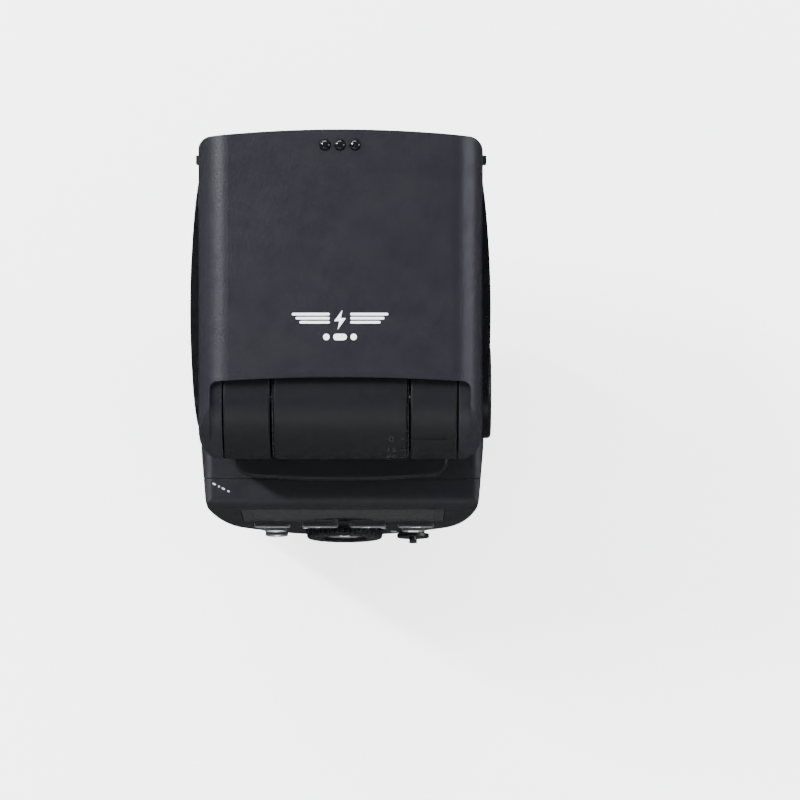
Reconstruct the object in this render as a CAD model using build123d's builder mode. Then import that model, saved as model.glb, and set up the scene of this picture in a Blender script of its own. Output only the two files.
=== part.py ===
"""A shoe-mount speedlight flash, built as an assembly of separate pieces.

The origin is the centre of the mounting foot's underside, on the vertical axis that the head swivels about.
+Z is up, the light leaves the head towards -Y, and the controls face +Y. All sizes are in millimetres.

The lower housing carries the foot, the batteries and the electronics. A neck swivels on it, and the head
tilts on a shaft through the neck's barrel. The head holds a zooming reflector and two pull-out panels.
"""

import math
import os

from build123d import *

os.makedirs("parts", exist_ok=True)

# ---- Driving dimensions ------------------------------------------------------------------------------

GAP = 0.3  # clearance between pieces that move past each other
FIT = 0.05  # radial clearance of a shaft in its bore
WALL = 1.9  # wall of the moulded shells
FAR = 200.0  # longer than the object, for cuts that go right through

# Mounting foot, to the usual accessory-shoe size
FOOT_WIDTH, FOOT_LENGTH, FOOT_THICK = 18.6, 18.0, 2.0
STEM_WIDTH, STEM_LENGTH = 12.4, 15.0
BASE_BOTTOM, BODY_BOTTOM, BODY_TOP = 5.0, 14.0, 75.5

# Lower housing
BODY_HALF, BODY_FRONT, BODY_REAR = 35.2, -24.5, 36.6
PANEL_TOP_Y = 28.0  # the sloping control panel's plane at the height of the housing's top
PANEL_LOW_Z = 18.0  # where that plane reaches BODY_REAR
PARTING_Y = 21.0  # seam between the front shell and the rear shell

# Neck and hinge
PIVOT_Z = 94.5
BARREL_R = 16.0
NECK_HALF = 15.7  # half the length of the neck's own barrel
BARREL_IN, BARREL_OUT = 16.6, 27.6  # the head's two barrels lie between these
EAR_IN = 27.9
PLATFORM_BOTTOM, PLATFORM_TOP = 76.0, 78.0
LIP_HALF, LIP_REAR, LIP_TOP = 25.7, 21.3, 86.0
SHAFT_R = 3.0
SWIVEL_R, SWIVEL_BORE = 11.5, 8.5  # hollow swivel tube
SWIVEL_LOW = 67.0

# Head
HEAD_HALF, HEAD_FRONT, HEAD_BOTTOM, HEAD_TOP = 33.75, -61.6, 77.0, 113.5
LID_REAR = -2.4  # rear edge of the head's top face at its ends, in front of the barrels
LID_BOW = 1.1  # how much further forward that edge is in the middle
STEP_HALF = 30.7  # half the width of that edge
EAR_TANGENT_Y = -6.0  # where the ears' outline starts to fall from the top face
EAR_REAR, EAR_R = 16.4, 6.3  # the ears' rear corners, seen from above
SHOULDER_R = 7.5
WINDOW_HALF, WINDOW_LOW, WINDOW_HIGH = 27.0, 80.8, 106.2
SLOT_LOW, SLOT_HIGH, SLOT_HALF = 108.2, 110.8, 26.8
PANEL_HALF, PANEL_LENGTH = 26.2, 34.0
STUD_Y, STUD_PITCH, STUD_R = -57.9, 3.5, 1.35

# Batteries: four AA cells lying across the housing
CELL_R, CELL_LENGTH = 7.2, 49.0
CELL_PITCH = 15.4
CELL_Y, CELL_Z = -0.5, 32.8
CELL_START = -24.0
DOOR_FRONT, DOOR_BACK, DOOR_LOW, DOOR_HIGH = -17.0, 16.0, 17.2, 51.5
DOOR_HINGE_X, DOOR_HINGE_Z = 31.2, 19.2

# Controls, on the sloping rear panel
PANEL_TILT = math.degrees(math.atan2(BODY_REAR - PANEL_TOP_Y, BODY_TOP - PANEL_LOW_Z))
PANEL_MID_Z = 46.0
SCREEN_UP, SCREEN_WIDTH, SCREEN_HEIGHT = 13.2, 50.0, 24.0
KEY_UP, KEY_PITCH, KEY_WIDTH, KEY_HEIGHT = -4.4, 12.0, 9.0, 3.6
DIAL_UP, DIAL_R, DIAL_BORE, SET_R = -17.6, 9.6, 5.7, 5.4
SIDE_KEY_X = 17.4


def panel_y(z):
    """The control panel's outer face at height z."""
    return BODY_REAR + (PANEL_TOP_Y - BODY_REAR) * (z - PANEL_LOW_Z) / (BODY_TOP - PANEL_LOW_Z)


def panel_plane(across=0.0, up=0.0, lift=0.0):
    """A plane on the control panel: x to the user's right, y up the slope, z out of the panel."""
    face = Plane(
        origin=(0, panel_y(PANEL_MID_Z), PANEL_MID_Z),
        x_dir=(-1, 0, 0),
        z_dir=(0, math.cos(math.radians(PANEL_TILT)), math.sin(math.radians(PANEL_TILT))),
    )
    spot = face.from_local_coords(Vector(across, up, lift))
    return Plane(origin=spot, x_dir=face.x_dir, z_dir=face.z_dir)


def side_plane(x):
    """A plane across X at x, with its own x along +Y, its y along +Z and its normal along +X."""
    return Plane(origin=(x, 0, 0), x_dir=(0, 1, 0), z_dir=(1, 0, 0))


def cross_plane(y):
    """A plane across Y at y, with its own x along +X, its y along +Z and its normal along -Y."""
    return Plane(origin=(0, y, 0), x_dir=(1, 0, 0), z_dir=(0, -1, 0))


def save(builder, name):
    """Labels a finished piece and writes it as its own node."""
    builder.part.label = name
    export_step(builder.part, f"parts/{name}.step")


# ---- Outer forms -------------------------------------------------------------------------------------


def body_form(inset):
    """The lower housing's form, moved in by inset: its plan, side and front outlines crossed."""
    half, rear = BODY_HALF - inset, BODY_REAR - inset
    bottom, top = BODY_BOTTOM + inset, BODY_TOP - inset
    with BuildPart() as form:
        with BuildSketch(Plane.XY.offset(bottom)) as plan:
            with BuildLine():
                Line((-half + 2.4, 32.6 - inset), (-half, 4))
                Line((-half, 4), (-half + 1.2, BODY_FRONT + 1.4 + inset))
                ThreePointArc(
                    (-half + 1.2, BODY_FRONT + 1.4 + inset),
                    (0, BODY_FRONT + inset),
                    (half - 1.2, BODY_FRONT + 1.4 + inset),
                )
                Line((half - 1.2, BODY_FRONT + 1.4 + inset), (half, 4))
                Line((half, 4), (half - 2.4, 32.6 - inset))
                ThreePointArc((half - 2.4, 32.6 - inset), (0, rear), (-half + 2.4, 32.6 - inset))
            make_face()
            fillet(plan.vertices().group_by(Axis.Y)[-1], 9.5 - inset)
            fillet(plan.vertices().group_by(Axis.Y)[0], 8.0 - inset)
        extrude(amount=top - bottom)
        with BuildSketch(side_plane(0)) as side:
            with BuildLine():
                Polyline(
                    (BODY_FRONT + 3.5 + inset, bottom),
                    (BODY_FRONT + inset, BODY_BOTTOM + 10),
                    (BODY_FRONT + 1.5 + inset, top),
                    (panel_y(top) - inset, top),
                    (BODY_REAR - inset, PANEL_LOW_Z),
                    (BODY_REAR - 3.2 - inset, bottom),
                    close=True,
                )
            make_face()
            fillet(side.vertices().group_by(Axis.Y)[-1], 3.0 - inset)
            fillet(side.vertices().group_by(Axis.Y)[0], 2.4 - inset)
        extrude(amount=FAR / 2, both=True, mode=Mode.INTERSECT)
        with BuildSketch(cross_plane(0)) as front:
            with BuildLine():
                Polyline(
                    (-half + 2.4, bottom),
                    (-half, BODY_BOTTOM + 16),
                    (-half, BODY_BOTTOM + 36),
                    (-half + 0.9, top),
                    (half - 0.9, top),
                    (half, BODY_BOTTOM + 36),
                    (half, BODY_BOTTOM + 16),
                    (half - 2.4, bottom),
                    close=True,
                )
            make_face()
            fillet(front.vertices().group_by(Axis.Y)[-1], 3.0 - inset)
            fillet(front.vertices().group_by(Axis.Y)[0], 2.4 - inset)
        extrude(amount=FAR / 2, both=True, mode=Mode.INTERSECT)
    return form.part


def head_front_view(inset, y):
    """The head's outline seen from the front, moved in by inset and placed at y."""
    half, top, bottom = HEAD_HALF - inset, HEAD_TOP - inset, HEAD_BOTTOM + inset
    with BuildSketch(cross_plane(y)) as front_view:
        with BuildLine():
            Polyline(
                (-half + 0.5, top - 0.5),
                (-half, top - 12),
                (-half, bottom + 12),
                (-half + 1.6, bottom),
                (half - 1.6, bottom),
                (half, bottom + 12),
                (half, top - 12),
                (half - 0.5, top - 0.5),
            )
            ThreePointArc((half - 0.5, top - 0.5), (0, top), (-half + 0.5, top - 0.5))
        make_face()
        fillet(front_view.vertices().group_by(Axis.Y)[-1], SHOULDER_R - inset)
        fillet(front_view.vertices().group_by(Axis.Y)[0], 4.5 - inset)
    return front_view.sketch


def head_form(inset):
    """The head's form, ears included, moved in by inset: its plan, side and front outlines crossed."""
    half, front = HEAD_HALF - inset, HEAD_FRONT + inset
    top, bottom, radius = HEAD_TOP - inset, HEAD_BOTTOM + inset, BARREL_R - inset
    # The ears' upper arc leaves the top face level and meets the barrel's circle without a kink.
    rise = top - PIVOT_Z
    ear_r = (EAR_TANGENT_Y**2 + rise**2 - radius**2) / (2 * (rise - radius))
    ear_centre = Vector(EAR_TANGENT_Y, top - ear_r)
    towards = (Vector(0, PIVOT_Z) - ear_centre).normalized()
    meeting = Vector(0, PIVOT_Z) + towards * radius
    half_turn = math.atan2(towards.Y, towards.X) / 2 + math.pi / 4
    ear_mid = ear_centre + Vector(math.cos(half_turn), math.sin(half_turn)) * ear_r
    low_turn = (math.atan2(towards.Y, towards.X) - math.pi / 2) / 2
    low_mid = Vector(0, PIVOT_Z) + Vector(math.cos(low_turn), math.sin(low_turn)) * radius
    with BuildPart() as form:
        with BuildSketch(Plane.XY.offset(bottom - 1)) as plan:
            with BuildLine():
                ThreePointArc((-half, front + 1.9), (0, front), (half, front + 1.9))
                Polyline(
                    (half, front + 1.9),
                    (half - 0.1, 7),
                    (half - 0.9, EAR_REAR - inset),
                    (-half + 0.9, EAR_REAR - inset),
                    (-half + 0.1, 7),
                    (-half, front + 1.9),
                )
            make_face()
            fillet(plan.vertices().group_by(Axis.Y)[0], max(3.6 - inset, 0.8))
            fillet(plan.vertices().group_by(Axis.Y)[-1], EAR_R - inset)
            fillet(plan.vertices().filter_by(lambda v: 6.9 < v.Y < 7.1), 25.0)
        extrude(amount=top - bottom + 2)
        with BuildSketch(side_plane(0)):
            with BuildLine():
                Line((HEAD_FRONT - 2, top), (EAR_TANGENT_Y, top))
                ThreePointArc((EAR_TANGENT_Y, top), tuple(ear_mid)[:2], tuple(meeting)[:2])
                ThreePointArc(tuple(meeting)[:2], tuple(low_mid)[:2], (0, PIVOT_Z - radius))
                Polyline(
                    (0, PIVOT_Z - radius),
                    (-21.5, PIVOT_Z - radius),
                    (-23.5, bottom),
                    (HEAD_FRONT - 2, bottom),
                    (HEAD_FRONT - 2, top),
                )
            make_face()
        extrude(amount=FAR / 2, both=True, mode=Mode.INTERSECT)
        extrude(head_front_view(inset, 0), amount=FAR / 2, both=True, mode=Mode.INTERSECT)
    return form.part


body_outer, body_inner = body_form(0), body_form(WALL)
head_outer, head_inner = head_form(0), head_form(WALL)


def box_between(low, high):
    """A plain block from one corner to the other, for building the pieces below."""
    with BuildPart() as block:
        with BuildSketch(Plane.XY.offset(low[2])):
            with Locations(((low[0] + high[0]) / 2, (low[1] + high[1]) / 2)):
                Rectangle(high[0] - low[0], high[1] - low[1])
        extrude(amount=high[2] - low[2])
    return block.part


def bar_along_x(start, end, radius, y=0.0, z=PIVOT_Z):
    """A round bar along X from start to end."""
    with BuildPart() as bar:
        with BuildSketch(side_plane(start)):
            with Locations((y, z)):
                Circle(radius)
        extrude(amount=end - start)
    return bar.part


def bar_along_y(start, end, radius, x, z):
    """A round bar along Y from start (the end nearer the front) to end."""
    with BuildPart() as bar:
        with BuildSketch(cross_plane(end)):
            with Locations((x, z)):
                Circle(radius)
        extrude(amount=end - start)
    return bar.part


# ---- Mounting foot and its lock ----------------------------------------------------------------------

LOCK_PIN_Y, LOCK_PIN_R = -6.6, 1.1
CONTACT_SPOTS = [(0, 0), (-4.2, -3.4), (4.2, -3.4), (-4.2, 3.6), (4.2, 3.6)]
CONTACT_R = 0.75
LEVER_PIVOT = (-7.0, 13.5)
LEVER_LOW, LEVER_HIGH = 7.2, 10.8

with BuildPart() as mounting_foot:
    with BuildSketch() as plate:
        Rectangle(FOOT_WIDTH, FOOT_LENGTH)
        fillet(plate.vertices().group_by(Axis.Y)[0], 1.6)
        fillet(plate.vertices().group_by(Axis.Y)[-1], 0.6)
    extrude(amount=FOOT_THICK)
    chamfer(mounting_foot.faces().sort_by(Axis.Z)[0].edges(), 0.25)
    with BuildSketch(Plane.XY.offset(FOOT_THICK)):
        RectangleRounded(STEM_WIDTH, STEM_LENGTH, 1.5)
    extrude(amount=BASE_BOTTOM - FOOT_THICK)
    with BuildSketch():
        with Locations(*CONTACT_SPOTS):
            Circle(CONTACT_R + FIT)
        with Locations((0, LOCK_PIN_Y)):
            Circle(LOCK_PIN_R + FIT)
    extrude(amount=BASE_BOTTOM, mode=Mode.SUBTRACT)
save(mounting_foot, "mounting_foot")

with BuildPart() as contact_pins:
    with BuildSketch(Plane.XY.offset(0.1)):
        with Locations(*CONTACT_SPOTS):
            Circle(CONTACT_R)
    extrude(amount=5.6)
    with BuildSketch(Plane.XY.offset(0.1)):
        with Locations(*CONTACT_SPOTS):
            Circle(CONTACT_R)
    extrude(amount=-0.6, taper=25)
save(contact_pins, "contact_pins")

with BuildPart() as lock_pin:
    with BuildSketch(Plane.XY.offset(0.2)):
        with Locations((0, LOCK_PIN_Y)):
            Circle(LOCK_PIN_R)
    extrude(amount=6.0)
    chamfer(lock_pin.faces().sort_by(Axis.Z)[0].edges(), 0.3)
save(lock_pin, "lock_pin")

with BuildPart() as foot_base:
    with BuildSketch(Plane.XY.offset(BASE_BOTTOM)):
        with Locations((0, 1.5)):
            RectangleRounded(40.0, 41.0, 7.0)
    extrude(amount=BODY_BOTTOM - BASE_BOTTOM)
    chamfer(foot_base.faces().sort_by(Axis.Z)[0].edges(), 1.2)
    # The pocket for the pins, open at the bottom under the foot's stem and at the top under the housing
    with BuildSketch(Plane.XY.offset(BASE_BOTTOM)):
        RectangleRounded(10.9, 12.0, 1.0)
        with Locations((0, LOCK_PIN_Y)):
            Circle(2.0)
    extrude(amount=BODY_BOTTOM - BASE_BOTTOM, mode=Mode.SUBTRACT)
    # The slot that the lock lever swings in, open to the rear
    with BuildSketch(Plane.XY.offset(LEVER_LOW - GAP)):
        with Locations((0, 17)):
            Rectangle(33.0, 18.0)
    extrude(amount=LEVER_HIGH - LEVER_LOW + 2 * GAP, mode=Mode.SUBTRACT)
    with BuildSketch(Plane.XY.offset(BASE_BOTTOM)):
        with Locations(LEVER_PIVOT):
            Circle(1.6 + FIT)
    extrude(amount=BODY_BOTTOM - BASE_BOTTOM, mode=Mode.SUBTRACT)
    with BuildSketch(Plane.XY.offset(BASE_BOTTOM)):
        with GridLocations(31.0, 0, 2, 1):
            Circle(2.3)
    extrude(amount=2.2, mode=Mode.SUBTRACT)
    with BuildSketch(Plane.XY.offset(BASE_BOTTOM)):
        with GridLocations(31.0, 0, 2, 1):
            Circle(1.25)
    extrude(amount=BODY_BOTTOM - BASE_BOTTOM, mode=Mode.SUBTRACT)
save(foot_base, "foot_base")

with BuildPart() as lock_lever:
    with BuildSketch(Plane.XY.offset(LEVER_LOW)):
        with BuildLine():
            Line((-9.6, 12.5), (-9.6, 22.5))
            ThreePointArc((-9.6, 22.5), (-4, 25.6), (4.5, 26.4))
            ThreePointArc((4.5, 26.4), (6.4, 25.0), (5.0, 23.2))
            ThreePointArc((5.0, 23.2), (-1.5, 21.6), (-4.4, 16.0))
            Line((-4.4, 16.0), (-4.4, 12.5))
            ThreePointArc((-4.4, 12.5), (-7.0, 9.9), (-9.6, 12.5))
        make_face()
    extrude(amount=LEVER_HIGH - LEVER_LOW)
    fillet(lock_lever.edges().filter_by(Axis.Z).sort_by(Axis.Y)[-2:], 0.5)
    with BuildSketch(Plane.XY.offset(BASE_BOTTOM + 0.4)):
        with Locations(LEVER_PIVOT):
            Circle(1.6)
    extrude(amount=BODY_BOTTOM - BASE_BOTTOM - 0.8)
save(lock_lever, "lock_lever")

with BuildPart() as lock_release_button:
    with BuildSketch(cross_plane(17.0)):
        with Locations((10.2, (LEVER_LOW + LEVER_HIGH) / 2)):
            RectangleRounded(7.0, 3.2, 1.0)
    extrude(amount=-6.4)
    fillet(lock_release_button.faces().sort_by(Axis.Y)[-1].edges(), 0.5)
save(lock_release_button, "lock_release_button")

# ---- Lower housing: shells, windows and battery door -------------------------------------------------

FRONT_WINDOW_HALF, FRONT_WINDOW_LOW, FRONT_WINDOW_HIGH = 22.0, 50.0, 68.0
WINDOW_DEPTH = 1.2
BOSS_SPOTS = [(-23.0, 18.3), (23.0, 18.3), (-22.0, 26.5), (22.0, 26.5)]
BOSS_R, SCREW_R = 2.5, 1.1

door_zone = box_between((28.5, DOOR_FRONT, DOOR_LOW), (FAR, DOOR_BACK, DOOR_HIGH))
door_gap = box_between(
    (26.0, DOOR_FRONT - GAP, DOOR_LOW - 1.2), (FAR, DOOR_BACK + GAP, DOOR_HIGH + GAP)
)
front_zone = box_between((-FAR, -FAR, 0), (FAR, PARTING_Y, FAR))
rear_zone = box_between((-FAR, PARTING_Y + 0.12, 0), (FAR, FAR, FAR))

with BuildPart() as front_shell:
    add(body_outer)
    add(body_inner, mode=Mode.SUBTRACT)
    # Bosses that the corner screws bite into
    with BuildSketch(Plane.XY.offset(BODY_BOTTOM + 1)):
        with Locations(*BOSS_SPOTS[:2]):
            Circle(BOSS_R)
    extrude(amount=6)
    add(front_zone, mode=Mode.INTERSECT)
    add(door_gap, mode=Mode.SUBTRACT)
    # Lugs that hold the door's hinge pin
    for lug_y in (DOOR_FRONT - 2.2, DOOR_BACK + 0.4):
        add(box_between((29.2, lug_y, 17.2), (32.6, lug_y + 1.8, 21.2)))
    add(bar_along_y(DOOR_FRONT - 2.2, DOOR_BACK + 2.2, 0.8, DOOR_HINGE_X, DOOR_HINGE_Z), mode=Mode.SUBTRACT)
    with BuildSketch(Plane.XY.offset(BODY_TOP - WALL - 1)):
        Circle(SWIVEL_R + 1.5)
    extrude(amount=WALL + 2, mode=Mode.SUBTRACT)
    # Through openings under the foot's base: the pins, the lever's pivot and the screws
    with BuildSketch(Plane.XY.offset(BODY_BOTTOM - 1)):
        RectangleRounded(10.9, 12.0, 1.0)
        with GridLocations(31.0, 0, 2, 1):
            Circle(SCREW_R)
        with Locations(*BOSS_SPOTS[:2]):
            Circle(SCREW_R)
    extrude(amount=12, mode=Mode.SUBTRACT)
    with BuildSketch(Plane.XY.offset(BODY_BOTTOM - 1)):
        with Locations(*BOSS_SPOTS[:2]):
            Circle(2.2)
    extrude(amount=2.4, mode=Mode.SUBTRACT)
    # The front window's rebate and the opening behind it
    with BuildSketch(cross_plane(BODY_FRONT + 2.9)):
        with Locations((0, (FRONT_WINDOW_LOW + FRONT_WINDOW_HIGH) / 2)):
            RectangleRounded(2 * FRONT_WINDOW_HALF, FRONT_WINDOW_HIGH - FRONT_WINDOW_LOW, 3.0)
    extrude(amount=20, mode=Mode.SUBTRACT)
    with BuildSketch(cross_plane(BODY_FRONT + 6)):
        with Locations((0, (FRONT_WINDOW_LOW + FRONT_WINDOW_HIGH) / 2)):
            RectangleRounded(2 * FRONT_WINDOW_HALF - 4, FRONT_WINDOW_HIGH - FRONT_WINDOW_LOW - 4, 2.0)
    extrude(amount=20, mode=Mode.SUBTRACT)
save(front_shell, "front_shell")

with BuildPart() as rear_shell:
    add(body_outer)
    add(body_inner, mode=Mode.SUBTRACT)
    with BuildSketch(Plane.XY.offset(BODY_BOTTOM + 1)):
        with Locations(*BOSS_SPOTS[2:]):
            Circle(BOSS_R)
    extrude(amount=6)
    add(rear_zone, mode=Mode.INTERSECT)
    with BuildSketch(Plane.XY.offset(BODY_BOTTOM - 1)):
        with Locations(*BOSS_SPOTS[2:]):
            Circle(SCREW_R)
    extrude(amount=8, mode=Mode.SUBTRACT)
    with BuildSketch(Plane.XY.offset(BODY_BOTTOM - 1)):
        with Locations(*BOSS_SPOTS[2:]):
            Circle(2.2)
    extrude(amount=2.4, mode=Mode.SUBTRACT)
    # Screen: a rebate for the window and an opening for the display
    with BuildSketch(panel_plane(0, SCREEN_UP, -WINDOW_DEPTH)):
        RectangleRounded(SCREEN_WIDTH, SCREEN_HEIGHT, 1.8)
    extrude(amount=5, mode=Mode.SUBTRACT)
    with BuildSketch(panel_plane(0, SCREEN_UP, -6)):
        RectangleRounded(SCREEN_WIDTH - 5, SCREEN_HEIGHT - 4, 0.8)
    extrude(amount=6, mode=Mode.SUBTRACT)
    # Four function keys, the dial, and the two keys and the switch beside it
    with BuildSketch(panel_plane(0, KEY_UP, -6)):
        with GridLocations(KEY_PITCH, 0, 4, 1):
            RectangleRounded(KEY_WIDTH + 2 * GAP, KEY_HEIGHT + 2 * GAP, 1.3)
    extrude(amount=12, mode=Mode.SUBTRACT)
    with BuildSketch(panel_plane(0, DIAL_UP, -1.0)):
        Circle(DIAL_R + GAP)
    extrude(amount=6, mode=Mode.SUBTRACT)
    with BuildSketch(panel_plane(0, DIAL_UP, -6)):
        Circle(DIAL_BORE + 1.4)
    extrude(amount=8, mode=Mode.SUBTRACT)
    with BuildSketch(panel_plane(0, DIAL_UP, -6)):
        with Locations((-SIDE_KEY_X, 4.6), (SIDE_KEY_X, 4.6), (-SIDE_KEY_X, -5.4)):
            Circle(2.9 + GAP)
        with Locations((SIDE_KEY_X, -5.4)):
            Circle(3.0 + FIT)
    extrude(amount=12, mode=Mode.SUBTRACT)
    # Room behind the round keys for their flanges
    with BuildSketch(panel_plane(0, DIAL_UP, -6)):
        with Locations((-SIDE_KEY_X, 4.6), (SIDE_KEY_X, 4.6), (-SIDE_KEY_X, -5.4)):
            Circle(4.3)
    extrude(amount=4.0, mode=Mode.SUBTRACT)
save(rear_shell, "rear_shell")

with BuildPart() as front_window:
    with BuildSketch(cross_plane(BODY_FRONT + 2.8)):
        with Locations((0, (FRONT_WINDOW_LOW + FRONT_WINDOW_HIGH) / 2)):
            RectangleRounded(
                2 * FRONT_WINDOW_HALF - 0.2, FRONT_WINDOW_HIGH - FRONT_WINDOW_LOW - 0.2, 2.9
            )
    extrude(amount=8)
    add(body_outer, mode=Mode.INTERSECT)
save(front_window, "front_window")

with BuildPart() as assist_lamps:
    add(box_between((-17.5, -19.2, 53.0), (17.5, -18.0, 65.0)))
    with BuildSketch(cross_plane(-19.2)):
        with Locations((-8.0, 59.0), (8.0, 59.0)):
            Circle(2.6)
    extrude(amount=1.8)
    fillet(assist_lamps.faces().group_by(Axis.Y)[0].edges(), 1.2)
save(assist_lamps, "assist_lamps")

with BuildPart() as battery_door:
    add(body_outer)
    add(body_inner, mode=Mode.SUBTRACT)
    add(door_zone, mode=Mode.INTERSECT)
    fillet(battery_door.edges().filter_by(Axis.X), 1.0)
    # Two hinge knuckles on the inside of the lower edge
    for knuckle_y in (-9.0, 8.0):
        with BuildSketch(Plane(origin=(0, knuckle_y, 0), x_dir=(1, 0, 0), z_dir=(0, -1, 0))):
            with Locations((DOOR_HINGE_X, DOOR_HINGE_Z)):
                Circle(1.6)
            with Locations((DOOR_HINGE_X + 0.7, DOOR_HINGE_Z)):
                Rectangle(1.4, 3.0)
        extrude(amount=5)
    add(bar_along_y(-20, 20, 0.8 + FIT, DOOR_HINGE_X, DOOR_HINGE_Z), mode=Mode.SUBTRACT)
    # Carrier for the contact plates
    add(box_between((28.5, -13.5, 23.5), (33.6, 12.5, 40.0)))
    add(box_between((30.0, -12.0, 25.0), (33.4, 11.0, 38.5)), mode=Mode.SUBTRACT)
    # The slot that the latch runs in
    with BuildSketch(side_plane(25)):
        with Locations((-0.5, 44.0)):
            Rectangle(9.0, 6.6)
    extrude(amount=20, mode=Mode.SUBTRACT)
save(battery_door, "battery_door")

with BuildPart() as door_latch:
    with BuildSketch(side_plane(31.6)):
        with Locations((-0.5, 44.6)):
            RectangleRounded(8.4, 4.0, 0.8)
    extrude(amount=3.9)
    with BuildSketch(side_plane(31.6)):
        with Locations((-0.5, 45.6)):
            Rectangle(10.4, 4.4)
    extrude(amount=0.9)
    with BuildSketch(side_plane(34.9)):
        with GridLocations(1.5, 0, 4, 1):
            with Locations((-0.5, 44.6)):
                Rectangle(0.5, 2.6)
    extrude(amount=0.8, mode=Mode.SUBTRACT)
save(door_latch, "door_latch")

with BuildPart() as door_hinge_pin:
    add(bar_along_y(DOOR_FRONT - 2.0, DOOR_BACK + 2.0, 0.8, DOOR_HINGE_X, DOOR_HINGE_Z))
save(door_hinge_pin, "door_hinge_pin")

with BuildPart() as door_contacts:
    with BuildSketch(side_plane(28.0)):
        with Locations((CELL_Y, CELL_Z - 4.6), (CELL_Y, CELL_Z + 4.6)):
            RectangleRounded(25.0, 7.0, 2.0)
    extrude(amount=0.5)
    with BuildSketch(side_plane(27.4)):
        with Locations((CELL_Y, CELL_Z)):
            with GridLocations(CELL_PITCH, CELL_PITCH, 2, 2):
                Circle(2.4)
    extrude(amount=0.6)
save(door_contacts, "door_contacts")

with BuildPart() as base_screws:
    # Two through the foot's base, and four that hold the shells' bosses
    for start, spots in ((BASE_BOTTOM + 0.3, [(-15.5, 0), (15.5, 0)]), (BODY_BOTTOM + 0.2, BOSS_SPOTS)):
        with BuildSketch(Plane.XY.offset(start)):
            with Locations(*spots):
                Circle(2.0)
        extrude(amount=1.2)
        with BuildSketch(Plane.XY.offset(start)):
            with Locations(*spots):
                Circle(SCREW_R - 0.05)
        extrude(amount=BODY_BOTTOM + 2.6 - start if start < BODY_BOTTOM else 6.0)
        with BuildSketch(Plane.XY.offset(start)):
            with Locations(*spots):
                Rectangle(2.4, 0.5)
                Rectangle(0.5, 2.4)
        extrude(amount=0.7, mode=Mode.SUBTRACT)
save(base_screws, "base_screws")

# ---- Battery compartment and electronics -------------------------------------------------------------

BOX_HALF = CELL_PITCH + 0.4
CELL_END = CELL_START + CELL_LENGTH

with BuildPart() as battery_box:
    add(
        box_between(
            (CELL_START - 3.2, CELL_Y - BOX_HALF, CELL_Z - BOX_HALF),
            (CELL_END - 1.0, CELL_Y + BOX_HALF, CELL_Z + BOX_HALF),
        )
    )
    fillet(battery_box.edges().filter_by(Axis.X), 4.0)
    with BuildSketch(side_plane(CELL_START - 1.6)):
        with Locations((CELL_Y, CELL_Z)):
            with GridLocations(CELL_PITCH, CELL_PITCH, 2, 2):
                Circle(CELL_R + 0.25)
    extrude(amount=60, mode=Mode.SUBTRACT)
save(battery_box, "battery_box")

with BuildPart() as battery_cells:
    with BuildSketch(side_plane(CELL_START)):
        with Locations((CELL_Y, CELL_Z)):
            with GridLocations(CELL_PITCH, CELL_PITCH, 2, 2):
                Circle(CELL_R)
    extrude(amount=CELL_LENGTH)
    fillet(battery_cells.edges(), 0.6)
    with BuildSketch(side_plane(CELL_END)):
        with Locations((CELL_Y, CELL_Z)):
            with GridLocations(CELL_PITCH, CELL_PITCH, 2, 2):
                Circle(2.7)
    extrude(amount=1.3)
save(battery_cells, "battery_cells")

with BuildPart() as cell_contacts:
    with BuildSketch(side_plane(CELL_START - 1.5)):
        with Locations((CELL_Y, CELL_Z)):
            with GridLocations(CELL_PITCH, CELL_PITCH, 2, 2):
                Circle(5.6)
    extrude(amount=0.4)
    with BuildSketch(side_plane(CELL_START - 1.1)):
        with Locations((CELL_Y, CELL_Z)):
            with GridLocations(CELL_PITCH, CELL_PITCH, 2, 2):
                Circle(3.4)
                Circle(2.6, mode=Mode.SUBTRACT)
    extrude(amount=1.0)
save(cell_contacts, "cell_contacts")

CAP_R, CAP_Y, CAP_Z = 8.6, -8.8, 58.0

with BuildPart() as main_capacitor:
    add(bar_along_x(-20, 20, CAP_R, y=CAP_Y, z=CAP_Z))
    fillet(main_capacitor.edges(), 0.9)
    with BuildSketch(side_plane(20)):
        with Locations((CAP_Y - 3.7, CAP_Z), (CAP_Y + 3.7, CAP_Z)):
            Circle(0.5)
    extrude(amount=3)
save(main_capacitor, "main_capacitor")

with BuildPart() as main_board:
    add(box_between((-28.0, 2.6, 50.2), (28.0, 4.2, 65.5)))
    add(box_between((-24.0, 4.2, 52.0), (-10.0, 11.5, 63.0)))
    add(box_between((-5.0, 4.2, 53.0), (6.0, 6.2, 63.0)))
    add(box_between((11.0, 4.2, 54.0), (21.0, 9.0, 62.0)))
save(main_board, "main_board")

with BuildPart() as control_board:
    with BuildSketch(panel_plane(0, -1.0, -7.4)):
        RectangleRounded(52.0, 46.0, 2.0)
    extrude(amount=1.2)
save(control_board, "control_board")

with BuildPart() as screen_module:
    with BuildSketch(panel_plane(0, SCREEN_UP, -4.6)):
        Rectangle(SCREEN_WIDTH - 5.6, SCREEN_HEIGHT - 4.6)
    extrude(amount=3.2)
save(screen_module, "screen_module")

with BuildPart() as screen_window:
    with BuildSketch(panel_plane(0, SCREEN_UP, -WINDOW_DEPTH + 0.05)):
        RectangleRounded(SCREEN_WIDTH - 0.3, SCREEN_HEIGHT - 0.3, 1.7)
    extrude(amount=WINDOW_DEPTH - 0.05)
save(screen_window, "screen_window")

# ---- Controls ----------------------------------------------------------------------------------------

KEY_FLANGE = -3.0  # keys keep a wider flange behind the panel
KEY_PROUD = 0.8


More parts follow.
